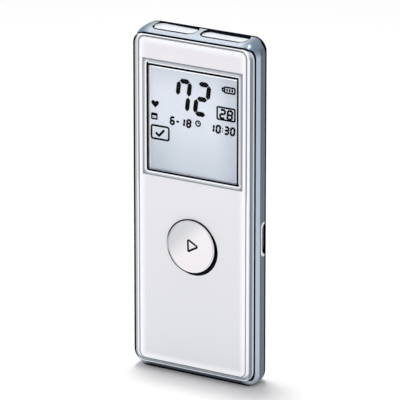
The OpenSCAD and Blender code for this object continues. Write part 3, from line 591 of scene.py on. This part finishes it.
def frame_paint(w, where, shade):
    """Flakes, painted shade on sides, foot, upper corners, seams and wells, and painted highlight on slope
    and socket.
    """
    flakes = w.group("paint_flakes", {"Vector": where}).outputs["Tone"]
    shade = w.mix(w.times(w.step(flakes, 0.3, 0.8), 0.16), shade, FLAKE)
    x, y, z = w.axes(where)
    across = w.span(x)
    # Painted shade on the flat sides, which face away from the light.
    side = w.times(w.ramp(across, 19.0, 19.2), w.step(y, behind(3.0), behind(3.4)))
    shade = w.mix(w.times(side, 0.9), shade, SIDE_SHADE)
    # A painted highlight on the front slope, which faces the light.
    slope = w.times(w.ramp(across, 18.9, 19.2), w.step(y, behind(3.3), behind(3.0)))
    shade = w.mix(slope, shade, SLOPE_HIGHLIGHT)
    # Painted shade at the upper corners, where the surface turns away from the light.
    corner = w.times(w.ramp(across, 14.0, 17.0), w.ramp(z, 93.5, 96.2))
    shade = w.mix(w.times(corner, 0.92), shade, CORNER_SHADE)
    # Painted shade on the foot, which faces down.
    foot = w.times(w.ramp(z, 2.6, 1.6), w.ramp(across, 17.5, 14.5, 0.1, 0.95))
    shade = w.mix(foot, shade, FOOT_SHADE)
    # A painted highlight round the socket's edge.
    shade = w.mix(socket_highlight(w, x, y, z), shade, LIP_HIGHLIGHT)
    well, strip = well_shade_and_strip(w, where)
    shade = w.mix(strip, shade, STRIP)
    # Black painted shade in the seams, in the band before the back cover, on the foot and round the wells.
    return shade, w.most(w.times(frame_seam_shade(w, across, y, z), w.inverse(strip)), well)


FINISH["mid_frame"] = moulded("silver_paint", "frame_silver", 0.30, grain=1600.0, tone=0.03, bump=0.02,
                              metallic=0.2, coat=0.10, paint=frame_paint, colour=(0.52, 0.575, 0.645))
FINISH["back_cover"] = moulded("back_satin", "back_white", 0.34, grain=2200.0, tone=0.02, bump=0.10,
                               marks=0.35)
print("finishes:", sorted(FINISH))

# %% [markdown]
# ## Steel electrodes and contacts
# The electrodes look flat and pale in the photograph, so their finish is hardly metallic. The other pieces
# are sheet, foil, zinc or gold plate, and the lines in them vary the gloss more than the colour.

# %% Metal finishes
ELECTRODE_GREY = (0.77, 0.80, 0.82)
for node in (*PLATES, "lower_electrode"):
    FINISH[node] = brushed("electrode_" + node[:5] + node[-4:], "electrode_steel", 0.45, tone=0.01,
                           metallic=0.08, colour=ELECTRODE_GREY)
METALS = (  # material, slot, roughness, scale of the lines along X, Y and Z, tone, node
    ("socket_sheet", "sheet_steel", 0.28, (4000, 4000, 90), 0.12, "usb_shell"),
    ("tinned_sheet", "sheet_steel", 0.34, (900, 900, 900), 0.06, "shield_can"),
    ("crystal_can", "sheet_steel", 0.30, (2000, 2000, 300), 0.12, "crystal"),
    ("dome_spring", "sheet_steel", 0.25, (3000, 3000, 200), 0.12, "switch_dome"),
    ("switch_sheet", "sheet_steel", 0.32, (200, 3000, 3000), 0.12, "switch_cover"),
    ("dark_zinc", "screw_steel", 0.40, (1500, 1500, 1500), 0.2, "case_screws"),
    *(("gold_" + node, "gold_contact", 0.24, (3000, 3000, 150), 0.08, node) for node in (
        "usb_contacts", "contact_spring_left", "contact_spring_right", "contact_spring_lower")),
)
for name, slot, roughness, along, tone, node in METALS:
    FINISH[node] = brushed(name, slot, roughness, along, tone)
FINISH["battery_cell"] = brushed("pouch_foil", "cell_foil", 0.38, (160, 160, 900), 0.08, bump=0.25)
print("finishes:", len(FINISH))

# %% [markdown]
# ## Plain mouldings, rubber, wires and chips
# These pieces sit inside the case, and show only when the recorder is taken apart. Each still has its own
# grain.

# %% Finishes of the inner pieces
INNER = (  # slot, roughness, grain, tone and nodes
    ("ivory_plastic", 0.55, 800.0, 0.05, ["lcd_carrier"]),
    ("ivory_plastic", 0.50, 900.0, 0.05, ["battery_plug", "battery_socket"]),
    ("black_plastic", 0.50, 900.0, 0.10, ["switch_plunger"]),
    ("black_plastic", 0.55, 900.0, 0.10, ["switch_base"]),
    ("black_plastic", 0.45, 1200.0, 0.10, ["usb_tongue"]),
    ("chip_black", 0.60, 2500.0, 0.12, ["microcontroller", "ecg_amplifier", "memory_chip", "charger_chip"]),
    ("ceramic", 0.65, 1800.0, 0.08, ["chip_antenna"]),
    ("ceramic", 0.55, 3000.0, 0.15, ["passives"]),
    ("foam_tape", 0.85, 2600.0, 0.12, ["battery_tape"]),
    ("amber_film", 0.30, 600.0, 0.10, ["battery_board"]),
    ("red_wire", 0.45, 1200.0, 0.08, ["battery_lead_red"]),
    ("black_wire", 0.45, 1200.0, 0.08, ["battery_lead_black"]),
    ("sheet_steel", 0.35, 900.0, 0.06, ["radio_module"]),
)
for slot, roughness, grain, tone, nodes in INNER:
    for node in nodes:
        FINISH[node] = moulded("inner_" + node, slot, roughness, grain=grain, tone=tone, bump=0.06,
                               metallic=1.0 if slot == "sheet_steel" else 0.0)
print("finishes:", len(FINISH))


# %% Striped rubber and the circuit board
STRIPE, STRIPE_GREY, TRACK_GREEN = 0.4, (0.30, 0.30, 0.31), (0.10, 0.33, 0.15)


def striped(w, where, shade):
    """The contact strip's thin conducting stripes run across it: a sine of x with one wave in STRIPE mm."""
    wave = w.math("SINE", w.times(w.axes(where)[0], 2 * math.pi / (STRIPE * MM)))
    return w.mix(w.step(wave, -0.1, 0.1), shade, STRIPE_GREY), None


def tracks(w, where, shade):
    """Copper tracks under the green mask: a coarse cell pattern, thin lines along its borders."""
    turned = w.node("Mapping", {"Vector": where, "Scale": (1, 0.0, 1)}).outputs[0]
    cells = w.node("TexVoronoi", {"Vector": turned, "Scale": 520.0}, distance="CHEBYCHEV",
                   feature="F1").outputs["Distance"]
    line = w.times(w.step(cells, 0.34, 0.37), w.step(cells, 0.46, 0.43))
    return w.mix(w.times(line, 0.7), shade, TRACK_GREEN), None


FINISH["elastomer_strip"] = moulded("striped_rubber", "dark_rubber", 0.8, paint=striped)
FINISH["main_board"] = moulded("solder_mask", "board_green", 0.35, coat=0.3, paint=tracks)
print("finishes:", len(FINISH))

# %% [markdown]
# ## The display
# Behind the window lie a polariser, two glasses and a second polariser. Seen from the front they look like
# one blue-grey field, and painted shading makes it palest above its middle and deeper to the right and in its
# lower corners. A dark line of painted shade runs round it: the border carries it on the left and below, and
# the polariser above and on the right. The window itself is clear: light passes straight through it on its
# way to the picture, which keeps the marks behind it sharp and free of speckle.

# %% Display picture
# Painted shade on the field, and a painted highlight line near its rim.
FIELD_SHADE, FIELD_HIGHLIGHT = (0.38, 0.42, 0.47), (1.0, 1.0, 1.0)


def display_field(w, where, shade):
    """The picture's painted shading: deeper to the lower left and right, palest above the middle, black
    painted shade at the upper and right rim, with a painted highlight line inside the upper one and at the
    left."""
    low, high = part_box("display_window")
    x, _, z = w.axes(where)
    down = w.step(z, low.z + 17 * MM, low.z + 1.5 * MM)
    lower_left = w.times(down, w.ramp(x, -3.0, -14.5))
    upper = w.step(z, high.z - 9 * MM, high.z - 1 * MM)
    # Painted shade: deeper to the lower left, to the right and below the top.
    for mask, strength in ((down, 0.46), (lower_left, 0.70), (upper, 0.34), (w.ramp(x, 5.0, 14.0), 0.62)):
        shade = w.mix(w.times(mask, strength), shade, FIELD_SHADE)
    # A painted highlight along the left and upper edge of the picture.
    pale = w.most(w.ramp(x, -14.0, -14.4), w.step(z, high.z - 1.83 * MM, high.z - 1.68 * MM))
    shade = w.mix(w.times(pale, 0.8), shade, FIELD_HIGHLIGHT)
    # Black painted shade at the upper and right rim of the picture.
    return shade, w.most(w.ramp(x, 13.32, 13.42), w.step(z, high.z - 1.54 * MM, high.z - 1.44 * MM))


FINISH["front_polariser"] = moulded("display_field", "polariser", 0.45, grain=5200.0, tone=0.015, bump=0.0,
                                    marks=0.0, colour=(0.605, 0.63, 0.685), paint=display_field)
FINISH["rear_polariser"] = moulded("rear_film", "polariser", 0.40, grain=2500.0, tone=0.02)
print("finishes:", len(FINISH))


# %% Clear window and glasses
THROUGH = (0.94, 0.96, 0.97, 1)


def clear_glass(name, tint, bend=1.5):
    """Polished glass. Rays that ask whether a lamp can be seen pass through: no shadow falls behind it."""
    material, w, where, shader = start_finish(name)
    skin = w.group("moulded_grain", {"Vector": where, "Scale": 60.0}).outputs
    worn = w.group("handling_marks", {"Vector": where, "Amount": 0.04}).outputs[0]
    more, less = (tuple(1 - (1 - c) * t for c in BASE["clear_window"]) for t in (tint, tint / 2))
    shade = w.mix(w.step(skin["Tone"], 0.4, 0.6), more, less)
    w.fill(shader, {"Base Color": shade, "Roughness": w.plus(worn, 0.02), "Metallic": 0.0,
                    "Transmission Weight": 1.0, "IOR": bend})
    through = w.node("BsdfTransparent", {"Color": THROUGH}).outputs[0]
    shadow = w.node("LightPath").outputs["Is Shadow Ray"]
    both = w.node("MixShader", {0: shadow, 1: shader.outputs[0], 2: through}).outputs[0]
    w.fill(w.tree.nodes["Material Output"], {"Surface": both})
    return material


FINISH["display_window"] = clear_glass("window_clear", 0.10, bend=1.09)
FINISH["lcd_front_glass"] = clear_glass("front_glass_clear", 0.4)
FINISH["lcd_rear_glass"] = clear_glass("rear_glass_clear", 0.4)
print("finishes:", len(FINISH))


# %% Border of the display
# A painted highlight strip and painted shade on the border's slope.
BORDER_HIGHLIGHT, BORDER_SHADE = (0.94, 0.95, 0.97), (0.27, 0.29, 0.32)
PICTURE_HALF, PICTURE_INSET, PICTURE_CORNER, LINE = 14.4, 1.5, 0.1, 0.52  # millimetres


def bezel_paint(w, where, shade):
    """From the picture outwards: a black line of painted shade on the left and below, a painted highlight
    strip, and a slope in painted shade.
    """
    low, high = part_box("display_bezel")
    bottom, top = low.z + PICTURE_INSET * MM, high.z - PICTURE_INSET * MM
    edge = rounded(w, where, bottom, top, PICTURE_HALF * MM, PICTURE_CORNER * MM)["Outside"]
    x, _, z = w.axes(where)
    left = w.ramp(x, -14.3, -14.4)
    lower = w.step(z, low.z + 1.6 * MM, low.z + 1.4 * MM)
    beside = w.most(left, lower)
    # A painted highlight strip on the border.
    shade = w.mix(w.ramp(w.minus(edge, w.times(beside, 0.50 * MM)), 0.42, 0.30), shade, BORDER_HIGHLIGHT)
    # Painted shade on the border's outer slope.
    shade = w.mix(w.ramp(w.minus(edge, w.times(beside, 0.22 * MM)), 0.90, 1.15), shade, BORDER_SHADE)
    # Black painted shade on the inner edge, to the left and below.
    start = w.times(left, w.inverse(lower), 0.10 * MM)
    end = w.times(w.least(w.plus(left, lower), 1.0), LINE * MM)
    line = w.times(w.ramp(w.minus(edge, end), 0.04, -0.04), w.ramp(w.minus(edge, start), -0.04, 0.0))
    return shade, line


FINISH["display_bezel"] = moulded("border_satin", "bezel_grey", 0.40, grain=1500.0, tone=0.02, bump=0.02,
                                  paint=bezel_paint, colour=(0.53, 0.55, 0.59))
print("finishes:", len(FINISH))

# %% [markdown]
# ## Softened copies of the solids
# The solids come in as loose triangles with hard edges. A real moulding has a small radius on every edge,
# which catches the light. So each piece that shows is copied, its triangles are welded and flat ones
# joined, and a small Bevel softens the edges that are left. The copy stands for the node, which keeps its
# collision.

# %% Weld, smooth and soften
SAME_PLANE, SHARP = 0.15, 32  # degrees
SOFT = {  # each node's slot, and how far its edges are rounded, in millimetres
    "front_cover": ("cover_white", 0.08), "front_panel": ("panel_pale", 0.05),
    "display_bezel": ("bezel_grey", 0.03), "mid_frame": ("frame_silver", 0.10),
    "back_cover": ("back_white", 0.08), "upper_electrode_left": ("electrode_steel", 0.10),
    "upper_electrode_right": ("electrode_steel", 0.10), "lower_electrode": ("electrode_steel", 0.10),
    "usb_shell": ("sheet_steel", 0.05), "case_screws": ("screw_steel", 0.05),
}


def welded_mesh(node, name):
    """A new mesh from a node's triangles: equal corners merged, triangles of one plane joined into a face."""
    bm = bmesh.new()
    bm.from_mesh(frame["nodes"][node].data)
    bmesh.ops.remove_doubles(bm, verts=bm.verts, dist=2e-6)
    bmesh.ops.dissolve_limit(bm, angle_limit=math.radians(SAME_PLANE), verts=bm.verts, edges=bm.edges)
    corners = [tuple(v.co) for v in bm.verts]
    bm.verts.index_update()
    faces = [[v.index for v in f.verts] for f in bm.faces]
    bm.free()
    mesh = bpy.data.meshes.new(name)
    mesh.from_pydata(corners, [], faces)
    return mesh


def place(mesh, name, body, slot, material):
    """A finished piece at the origin, riding on its body."""
    mesh.materials.append(material)
    piece = new_object(name, mesh)
    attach(piece, body)
    return piece


def soften(node, slot, edge):
    """A welded copy of a node, smooth, its edges rounded by edge millimetres; it stands for the node."""
    mesh = welded_mesh(node, node + "_soft")
    mesh.shade_smooth()
    mesh.set_sharp_from_angle(angle=math.radians(SHARP))
    piece = place(mesh, node + "_soft", "case", slot, FINISH[node])
    bevel = piece.modifiers.new("edge", "BEVEL")
    bevel.width, bevel.segments = edge * MM, 2
    bevel.limit_method, bevel.angle_limit = "ANGLE", math.radians(SHARP)
    bevel.harden_normals = True
    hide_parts(node)
    print(piece.name, len(mesh.polygons), "faces")


for node, (slot, edge) in SOFT.items():
    soften(node, slot, edge)

# %% [markdown]
# ## Surfaces worked out with numpy
# Three kinds of surface make everything that is new here. A turned surface is a profile swept round an
# axis. A band is a small cross-section carried along a closed path. A bar is a flat six-sided stroke, such
# as one segment of a digit. Each is computed as whole arrays.

# %% Grid, turned surface, band and bar
def grid_faces(rows, columns, closed_rows, closed_columns):
    """Quads of a rows x columns grid: (i, j), (i+1, j), (i+1, j+1), (i, j+1), wrapped where closed."""
    i = np.arange(rows if closed_rows else rows - 1)
    j = np.arange(columns if closed_columns else columns - 1)
    i, j = (a.ravel() for a in np.meshgrid(i, j, indexing="ij"))
    i1, j1 = (i + 1) % rows, (j + 1) % columns
    return np.stack([i * columns + j, i1 * columns + j, i1 * columns + j1, i * columns + j1], 1)


def fill_mesh(name, points, faces, smooth=True):
    """A mesh from arrays of points and faces, its doubles merged and its faces turned outwards."""
    mesh = bpy.data.meshes.new(name)
    mesh.from_pydata(points.reshape(-1, 3).tolist(), [], faces.tolist())
    bm = bmesh.new()
    bm.from_mesh(mesh)
    bmesh.ops.remove_doubles(bm, verts=bm.verts, dist=1e-7)
    bmesh.ops.recalc_face_normals(bm, faces=bm.faces)
    bm.to_mesh(mesh)
    bm.free()
    if smooth:
        mesh.shade_smooth()
        mesh.set_sharp_from_angle(angle=math.radians(35))
    return mesh


def turned(profile, middle_z, steps=96):
    """Points of a profile swept round the button's axis. A profile point (r, d) at angle t goes to
    (r cos t, face + d, middle z + r sin t)."""
    t = np.linspace(0, 2 * np.pi, steps, endpoint=False)[:, None]
    r, d = profile[:, 0][None], profile[:, 1][None]
    points = np.stack([r * np.cos(t), FACE / MM + d + 0 * t, middle_z + r * np.sin(t)], 2)
    return points * MM, grid_faces(steps, len(profile), True, False)


def band(path, width, front, back_d):
    """A flat closed band along a path in (x, z): the path is moved out and in by half the width along its
    normal, and each copy is placed at the two depths, so that the cross-section is a rectangle."""
    ahead, behind_point = np.roll(path, -1, 0), np.roll(path, 1, 0)
    a, b = ahead - path, path - behind_point
    a, b = (v / np.linalg.norm(v, axis=1, keepdims=True) for v in (a, b))
    normal = np.stack([(a + b)[:, 1], -(a + b)[:, 0]], 1)
    normal /= np.linalg.norm(normal, axis=1, keepdims=True)
    spread = 1 / np.maximum(0.3, (normal * np.stack([a[:, 1], -a[:, 0]], 1)).sum(1))[:, None]
    section = np.array([[-1, 0], [1, 0], [1, 1], [-1, 1]], float)
    xz = path[:, None] + normal[:, None] * spread[:, None] * section[None, :, :1] * width / 2
    y = FACE / MM + front + (back_d - front) * section[None, :, 1] + 0 * xz[..., 0]
    return np.stack([xz[..., 0], y, xz[..., 1]], 2) * MM, grid_faces(len(path), 4, True, True)


print("surface helpers ready")


# %% Bars and rounded paths
def bars(ends, width, front, back_d, tip=0.5):
    """Flat strokes between pairs of points. In a stroke's own frame its corners are (0, 0), (tip w, w/2),
    (l - tip w, w/2), (l, 0), (l - tip w, -w/2), (tip w, -w/2), once at the front and once at the back."""
    ends = np.asarray(ends, float)
    along = ends[:, 1] - ends[:, 0]
    length = np.linalg.norm(along, axis=1)[:, None]
    u = along / length
    n = np.stack([-u[:, 1], u[:, 0]], 1)
    t = tip * width
    s = np.concatenate([0 * length, 0 * length + t, length - t, length, length - t, 0 * length + t], 1)
    h = np.array([0, .5, .5, 0, -.5, -.5])[None] * width
    xz = ends[:, :1] + u[:, None] * s[..., None] + n[:, None] * h[..., None]
    both = np.concatenate([xz, xz], 1)
    y = np.repeat([front, back_d], 6)[None] + FACE / MM + 0 * both[..., 0]
    points = np.stack([both[..., 0], y, both[..., 1]], 2) * MM
    k = np.arange(6)
    rim = np.stack([k, (k + 1) % 6, (k + 1) % 6 + 6, k + 6], 1)
    caps = np.array([[0, 1, 2, 3], [0, 3, 4, 5], [6, 9, 8, 7], [6, 11, 10, 9]])
    faces = (np.arange(len(ends))[:, None, None] * 12 + np.concatenate([rim, caps])[None]).reshape(-1, 4)
    return points, faces


def rounded_path(x0, x1, z0, z1, corner, steps=8):
    """A closed path round a rectangle: four quarter circles of the corner's radius, joined by its sides."""
    t = np.linspace(0, np.pi / 2, steps)
    turn = np.concatenate([t + k * np.pi / 2 for k in range(4)])
    centre = np.repeat([[x1 - corner, z1 - corner], [x0 + corner, z1 - corner],
                        [x0 + corner, z0 + corner], [x1 - corner, z0 + corner]], steps, axis=0)
    return centre + corner * np.stack([np.cos(turn), np.sin(turn)], 1)


def joined(*parts):
    """Several (points, faces) as one, with the face numbers of each moved past the points before it."""
    sizes = np.cumsum([0] + [p.reshape(-1, 3).shape[0] for p, _ in parts])
    return (np.concatenate([p.reshape(-1, 3) for p, _ in parts]),
            np.concatenate([f + s for (_, f), s in zip(parts, sizes)]))


print("stroke helpers ready")

# %% [markdown]
# ## The start button
# The cap is a shallow dish with a rounded rim and a skirt that ends in a flange behind the panel, so it
# can't fall out. All of that is one profile turned round the button's axis. The dish makes the cap darker
# where it slopes away from the light, and painted shade adds to that on the upper left, in a fine crease at
# the rim and on a black skirt. The triangle is a printed outline that lies in the dish and follows its
# hollow.

# %% Button
BUTTON_FRONT, POST_END = ((end.y - FACE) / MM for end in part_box("start_button"))
CAP_R, DISH_R, DISH_DEPTH, RIM = 7.45, 6.85, 0.3, 0.25
FLANGE_R, BORE_R, POST_R = 8.55, 6.25, 1.60
FLANGE_TOP, FLANGE_END, BORE_TOP = 1.60, 2.10, 0.40
# Painted shade on the cap and in the crease at its rim.
CAP_SHADE, CREASE_SHADE = (0.56, 0.575, 0.595), (0.16, 0.18, 0.20)


def dish(r):
    """Depth of the hollow at radius r: a parabola that is deepest in the middle and level at the rim."""
    return BUTTON_FRONT + DISH_DEPTH * (1 - np.minimum(r / DISH_R, 1) ** 2)


def cap_profile():
    """Radius and depth of the cap, from its middle over the rim to the flange, and back to its post."""
    r = np.linspace(0, DISH_R, 26)
    t = np.linspace(0, np.pi / 2, 9)
    rim = np.stack([CAP_R - RIM + RIM * np.sin(t), BUTTON_FRONT + RIM - RIM * np.cos(t)], 1)
    skirt = [(CAP_R, FLANGE_TOP), (FLANGE_R, FLANGE_TOP), (FLANGE_R, FLANGE_END), (BORE_R, FLANGE_END),
             (BORE_R, BORE_TOP), (POST_R, BORE_TOP), (POST_R, POST_END), (0, POST_END)]
    return np.concatenate([np.stack([r, dish(r)], 1), rim, skirt])


def button_paint(w, where, shade):
    """Painted shade: a cooler grey to the upper left that fades to white, a fine crease at both sides, a
    black skirt.
    """
    x, y, z = w.axes(where)
    # Painted shade on the upper left of the dish.
    slope = w.minus(z, BUTTON_Z * MM, x)
    shade = w.mix(w.times(w.ramp(slope, -1, 8), 0.85), shade, CAP_SHADE)
    # Painted shade in the crease between dish and rim.
    radius = button_radius(w, where)
    crease = w.times(w.ramp(radius, 7.00, 7.10), w.ramp(radius, 7.26, 7.16),
                     w.ramp(w.span(x), 3.5, 6.2, 0.0, 0.6))
    shade = w.mix(crease, shade, CREASE_SHADE)
    # Black painted shade on the skirt behind the rim.
    return shade, w.times(w.ramp(radius, 7.30, 7.38), w.step(y, behind(-0.62), behind(-0.52)))


button_white = moulded("button_gloss", "button_white", 0.24, grain=1200.0, tone=0.01, bump=0.01, coat=0.4,
                       colour=(0.86, 0.82, 0.835), paint=button_paint)
cap = place(fill_mesh("start_button_cap", *turned(cap_profile(), BUTTON_Z)), "start_button_cap",
            "start_button", "button_white", button_white)
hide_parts("start_button")
print("button middle", round(BUTTON_Z, 2), "front", round(BUTTON_FRONT, 2), len(cap.data.polygons), "faces")

# %% Outline of the triangle
MARK_HIGH, MARK_CORNER, MARK_LINE, MARK_DEEP = 3.62, 0.36, 0.56, 0.15  # millimetres
MARK_PROUD, MARK_UP = 0.012, 0.15  # millimetres in front of the dish and above the cap's middle


def softened_triangle(height, corner, steps=7):
    """A closed path round a triangle that points right, each corner an arc of the corner's radius."""
    wide = height * 0.92
    tips = np.array([[-wide / 3, -height / 2], [wide * 2 / 3, 0], [-wide / 3, height / 2]])
    shrink = tips * (1 - corner / (height * 0.30))
    edge_angle = np.array([-np.pi * 0.75, -np.pi * 0.18, np.pi * 0.48])
    sweep = np.linspace(0, np.pi * 2 / 3, steps)
    turn = edge_angle[:, None] + sweep[None]
    path = shrink[:, None] + corner * np.stack([np.cos(turn), np.sin(turn)], 2)
    return path.reshape(-1, 2)


ink = moulded("black_ink", "black_plastic", 0.5, grain=3000.0, tone=0.15, bump=0.02, marks=0.1,
              colour=(0.002, 0.002, 0.003))
ink.node_tree.nodes["Principled BSDF"].inputs["Specular IOR Level"].default_value = 0.02
points, faces = band(softened_triangle(MARK_HIGH, MARK_CORNER), MARK_LINE, 0, MARK_DEEP)
radius = np.hypot(points[..., 0], points[..., 2]) / MM
points[..., 1] += (dish(radius) - MARK_PROUD) * MM
points[..., 2] += (BUTTON_Z + MARK_UP) * MM


def printed(name, shape, body="case"):
    """A flat black mark that rides on a body."""
    piece = place(fill_mesh(name, *shape, smooth=False), name, body, "black_plastic", ink)
    print(name, [round(v / MM, 2) for v in piece.dimensions], "mm")


printed("start_mark", (points, faces), "start_button")

# %% [markdown]
# ## The marks on the display
# A liquid crystal display shows fixed segments, so its marks are flat black strokes: slanted seven-segment
# digits, and small signs. The readings are plain numbers. The signs round them are generic ones: a heart, a
# battery, a calendar sheet, a clock and a tick in a box. They lie on the front polariser.

# %% Seven-segment digits
LIT = {"0": "abcdef", "1": "bc", "2": "abged", "3": "abgcd", "6": "afgedc", "7": "fabc", "8": "abcdefg"}
SEGMENT = {"a": (0, 1, 1, 1), "b": (1, 1, 1, .5), "c": (1, .5, 1, 0), "d": (0, 0, 1, 0),
           "e": (0, .5, 0, 0), "f": (0, 1, 0, .5), "g": (0, .5, 1, .5)}
INK_BACK = (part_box("front_polariser")[0].y - FACE) / MM
INK_FRONT = INK_BACK - 0.02
LARGE = {"wide": 3.5, "high": 8.5, "slant": 0.135, "stroke": 1.38, "gap": 0.12}
FRAMED = {"wide": 1.40, "high": 2.35, "slant": 0.09, "stroke": 0.62, "gap": 0.0, "tip": 0.15}
DATE = {"wide": 1.08, "high": 1.95, "slant": 0.10, "stroke": 0.62, "gap": 0.0, "tip": 0.12}
TIME = {**DATE, "wide": 1.10}


def digit_ends(shown, x, z, wide, high, slant, gap):
    """End points of the lit strokes of one digit. A unit point (u, v) goes to (x + u wide + v high slant,
    z + v high), and each stroke is drawn in from its ends by gap."""
    unit = np.array([SEGMENT[k] for k in LIT[shown]], float).reshape(-1, 2, 2)
    ends = np.stack([x + unit[..., 0] * wide + unit[..., 1] * high * slant, z + unit[..., 1] * high], 2)
    along = ends[:, 1] - ends[:, 0]
    along /= np.linalg.norm(along, axis=1, keepdims=True)
    return ends + np.stack([along, -along], 1) * gap


def reading(text, x_places, z, wide, high, slant, stroke, gap, tip=0.5):
    """The strokes of several digits at their own left edges, as points and faces."""
    ends = np.concatenate([digit_ends(c, x, z, wide, high, slant, gap) for c, x in zip(text, x_places)])
    return bars(ends, stroke, INK_FRONT, INK_BACK, tip)


def strokes(ends, width, tip=0.2):
    return bars(ends, width, INK_FRONT, INK_BACK, tip)


printed("large_reading", reading("72", (-6.08, 0.01), 75.75, **LARGE))
printed("small_readings", joined(
    reading("28", (8.05, 10.35), 75.72, **FRAMED),
    reading("618", (-7.80, -4.55, -2.55), 71.57, **DATE),
    reading("1030", (4.85, 6.85, 9.50, 11.40), 71.45, **TIME),
    strokes([[(-6.05, 72.52), (-4.90, 72.52)]], 0.60, 0.5),
    strokes([[(8.72, 72.75), (9.06, 72.75)], [(8.62, 71.95), (8.96, 71.95)]], 0.52)))

# %% Signs round the digits
def heart(x, z, size, steps=40, rings=5):
    """A filled heart on a grid of angle and ring: its edge is x = 16 sin^3 t, z = 13 cos t - 5 cos 2t
    - 2 cos 3t - cos 4t, scaled to 2 size wide, and each ring is a smaller copy, at the front and the back."""
    t = np.linspace(0, 2 * np.pi, steps, endpoint=False)[:, None]
    share = np.concatenate([np.linspace(0, 1, rings), np.linspace(1, 0, rings)])[None]
    depth = np.concatenate([np.full(rings, INK_FRONT), np.full(rings, INK_BACK)])[None] + 0 * t
    hx = 16 * np.sin(t) ** 3 * share
    hz = (13 * np.cos(t) - 5 * np.cos(2 * t) - 2 * np.cos(3 * t) - np.cos(4 * t)) * share
    points = np.stack([x + hx * size / 16, FACE / MM + depth, z + hz * size / 16], 2) * MM
    return points, grid_faces(steps, 2 * rings, True, False)


def box_band(x0, x1, z0, z1, corner, width):
    return band(rounded_path(x0, x1, z0, z1, corner), width, INK_FRONT, INK_BACK)


CLOCK_X, CLOCK_Z, CLOCK_R = 1.05, 73.0, 0.72
turn = np.linspace(0, 2 * np.pi, 40, endpoint=False)
clock = np.stack([CLOCK_X + CLOCK_R * np.cos(turn), CLOCK_Z + CLOCK_R * np.sin(turn)], 1)
printed("display_signs", joined(
    heart(-12.72, 76.55, 1.22),
    # The battery: its case, its tip and three bars.
    box_band(9.45, 12.75, 83.05, 84.62, 0.30, 0.48), box_band(8.80, 9.40, 83.42, 84.25, 0.12, 0.46),
    strokes([[(x, 84.30), (x, 83.38)] for x in (10.25, 11.08, 11.90)], 0.52),
    # The frame round the two digits on the right.
    box_band(7.15, 12.75, 75.32, 78.75, 0.30, 0.52),
    # The calendar sheet: its edge, its head line and two marks.
    box_band(-13.85, -12.15, 72.20, 73.70, 0.15, 0.44),
    strokes([[(-13.85, 73.34), (-12.15, 73.34)]], 0.44, 0),
    strokes([[(x, 72.72), (x + 0.30, 72.72)] for x in (-13.50, -12.90)], 0.30, 0),
    # The clock and its two hands.
    band(clock, 0.44, INK_FRONT, INK_BACK),
    strokes([[(1.05, 72.94), (1.05, 73.45)], [(1.0, 73.0), (1.42, 73.0)]], 0.32, 0),
    # The tick in its box.
    box_band(-13.92, -8.32, 66.62, 70.35, 0.55, 0.56),
    strokes([[(-12.55, 68.45), (-11.50, 67.45)], [(-11.68, 67.38), (-9.75, 69.45)]], 0.70, 0.15)))

# %% [markdown]
# ## Finishes for the nodes that stay
# Nodes whose solids are right as they are keep them, and only take a finish. Only their material slots
# change.

# %% Assign the finishes
for name, node in frame["nodes"].items():
    if name in FINISH and not node.hide_render:
        node.data.materials.clear()
        node.data.materials.append(FINISH[name])
bare = [n for n, o in frame["nodes"].items() if n not in FINISH and not o.hide_render]
print("nodes with a finish:", len(FINISH), "without:", bare)

# %% View transform and the end
bpy.context.scene.view_settings.view_transform = "Standard"
bpy.context.view_layer.update()
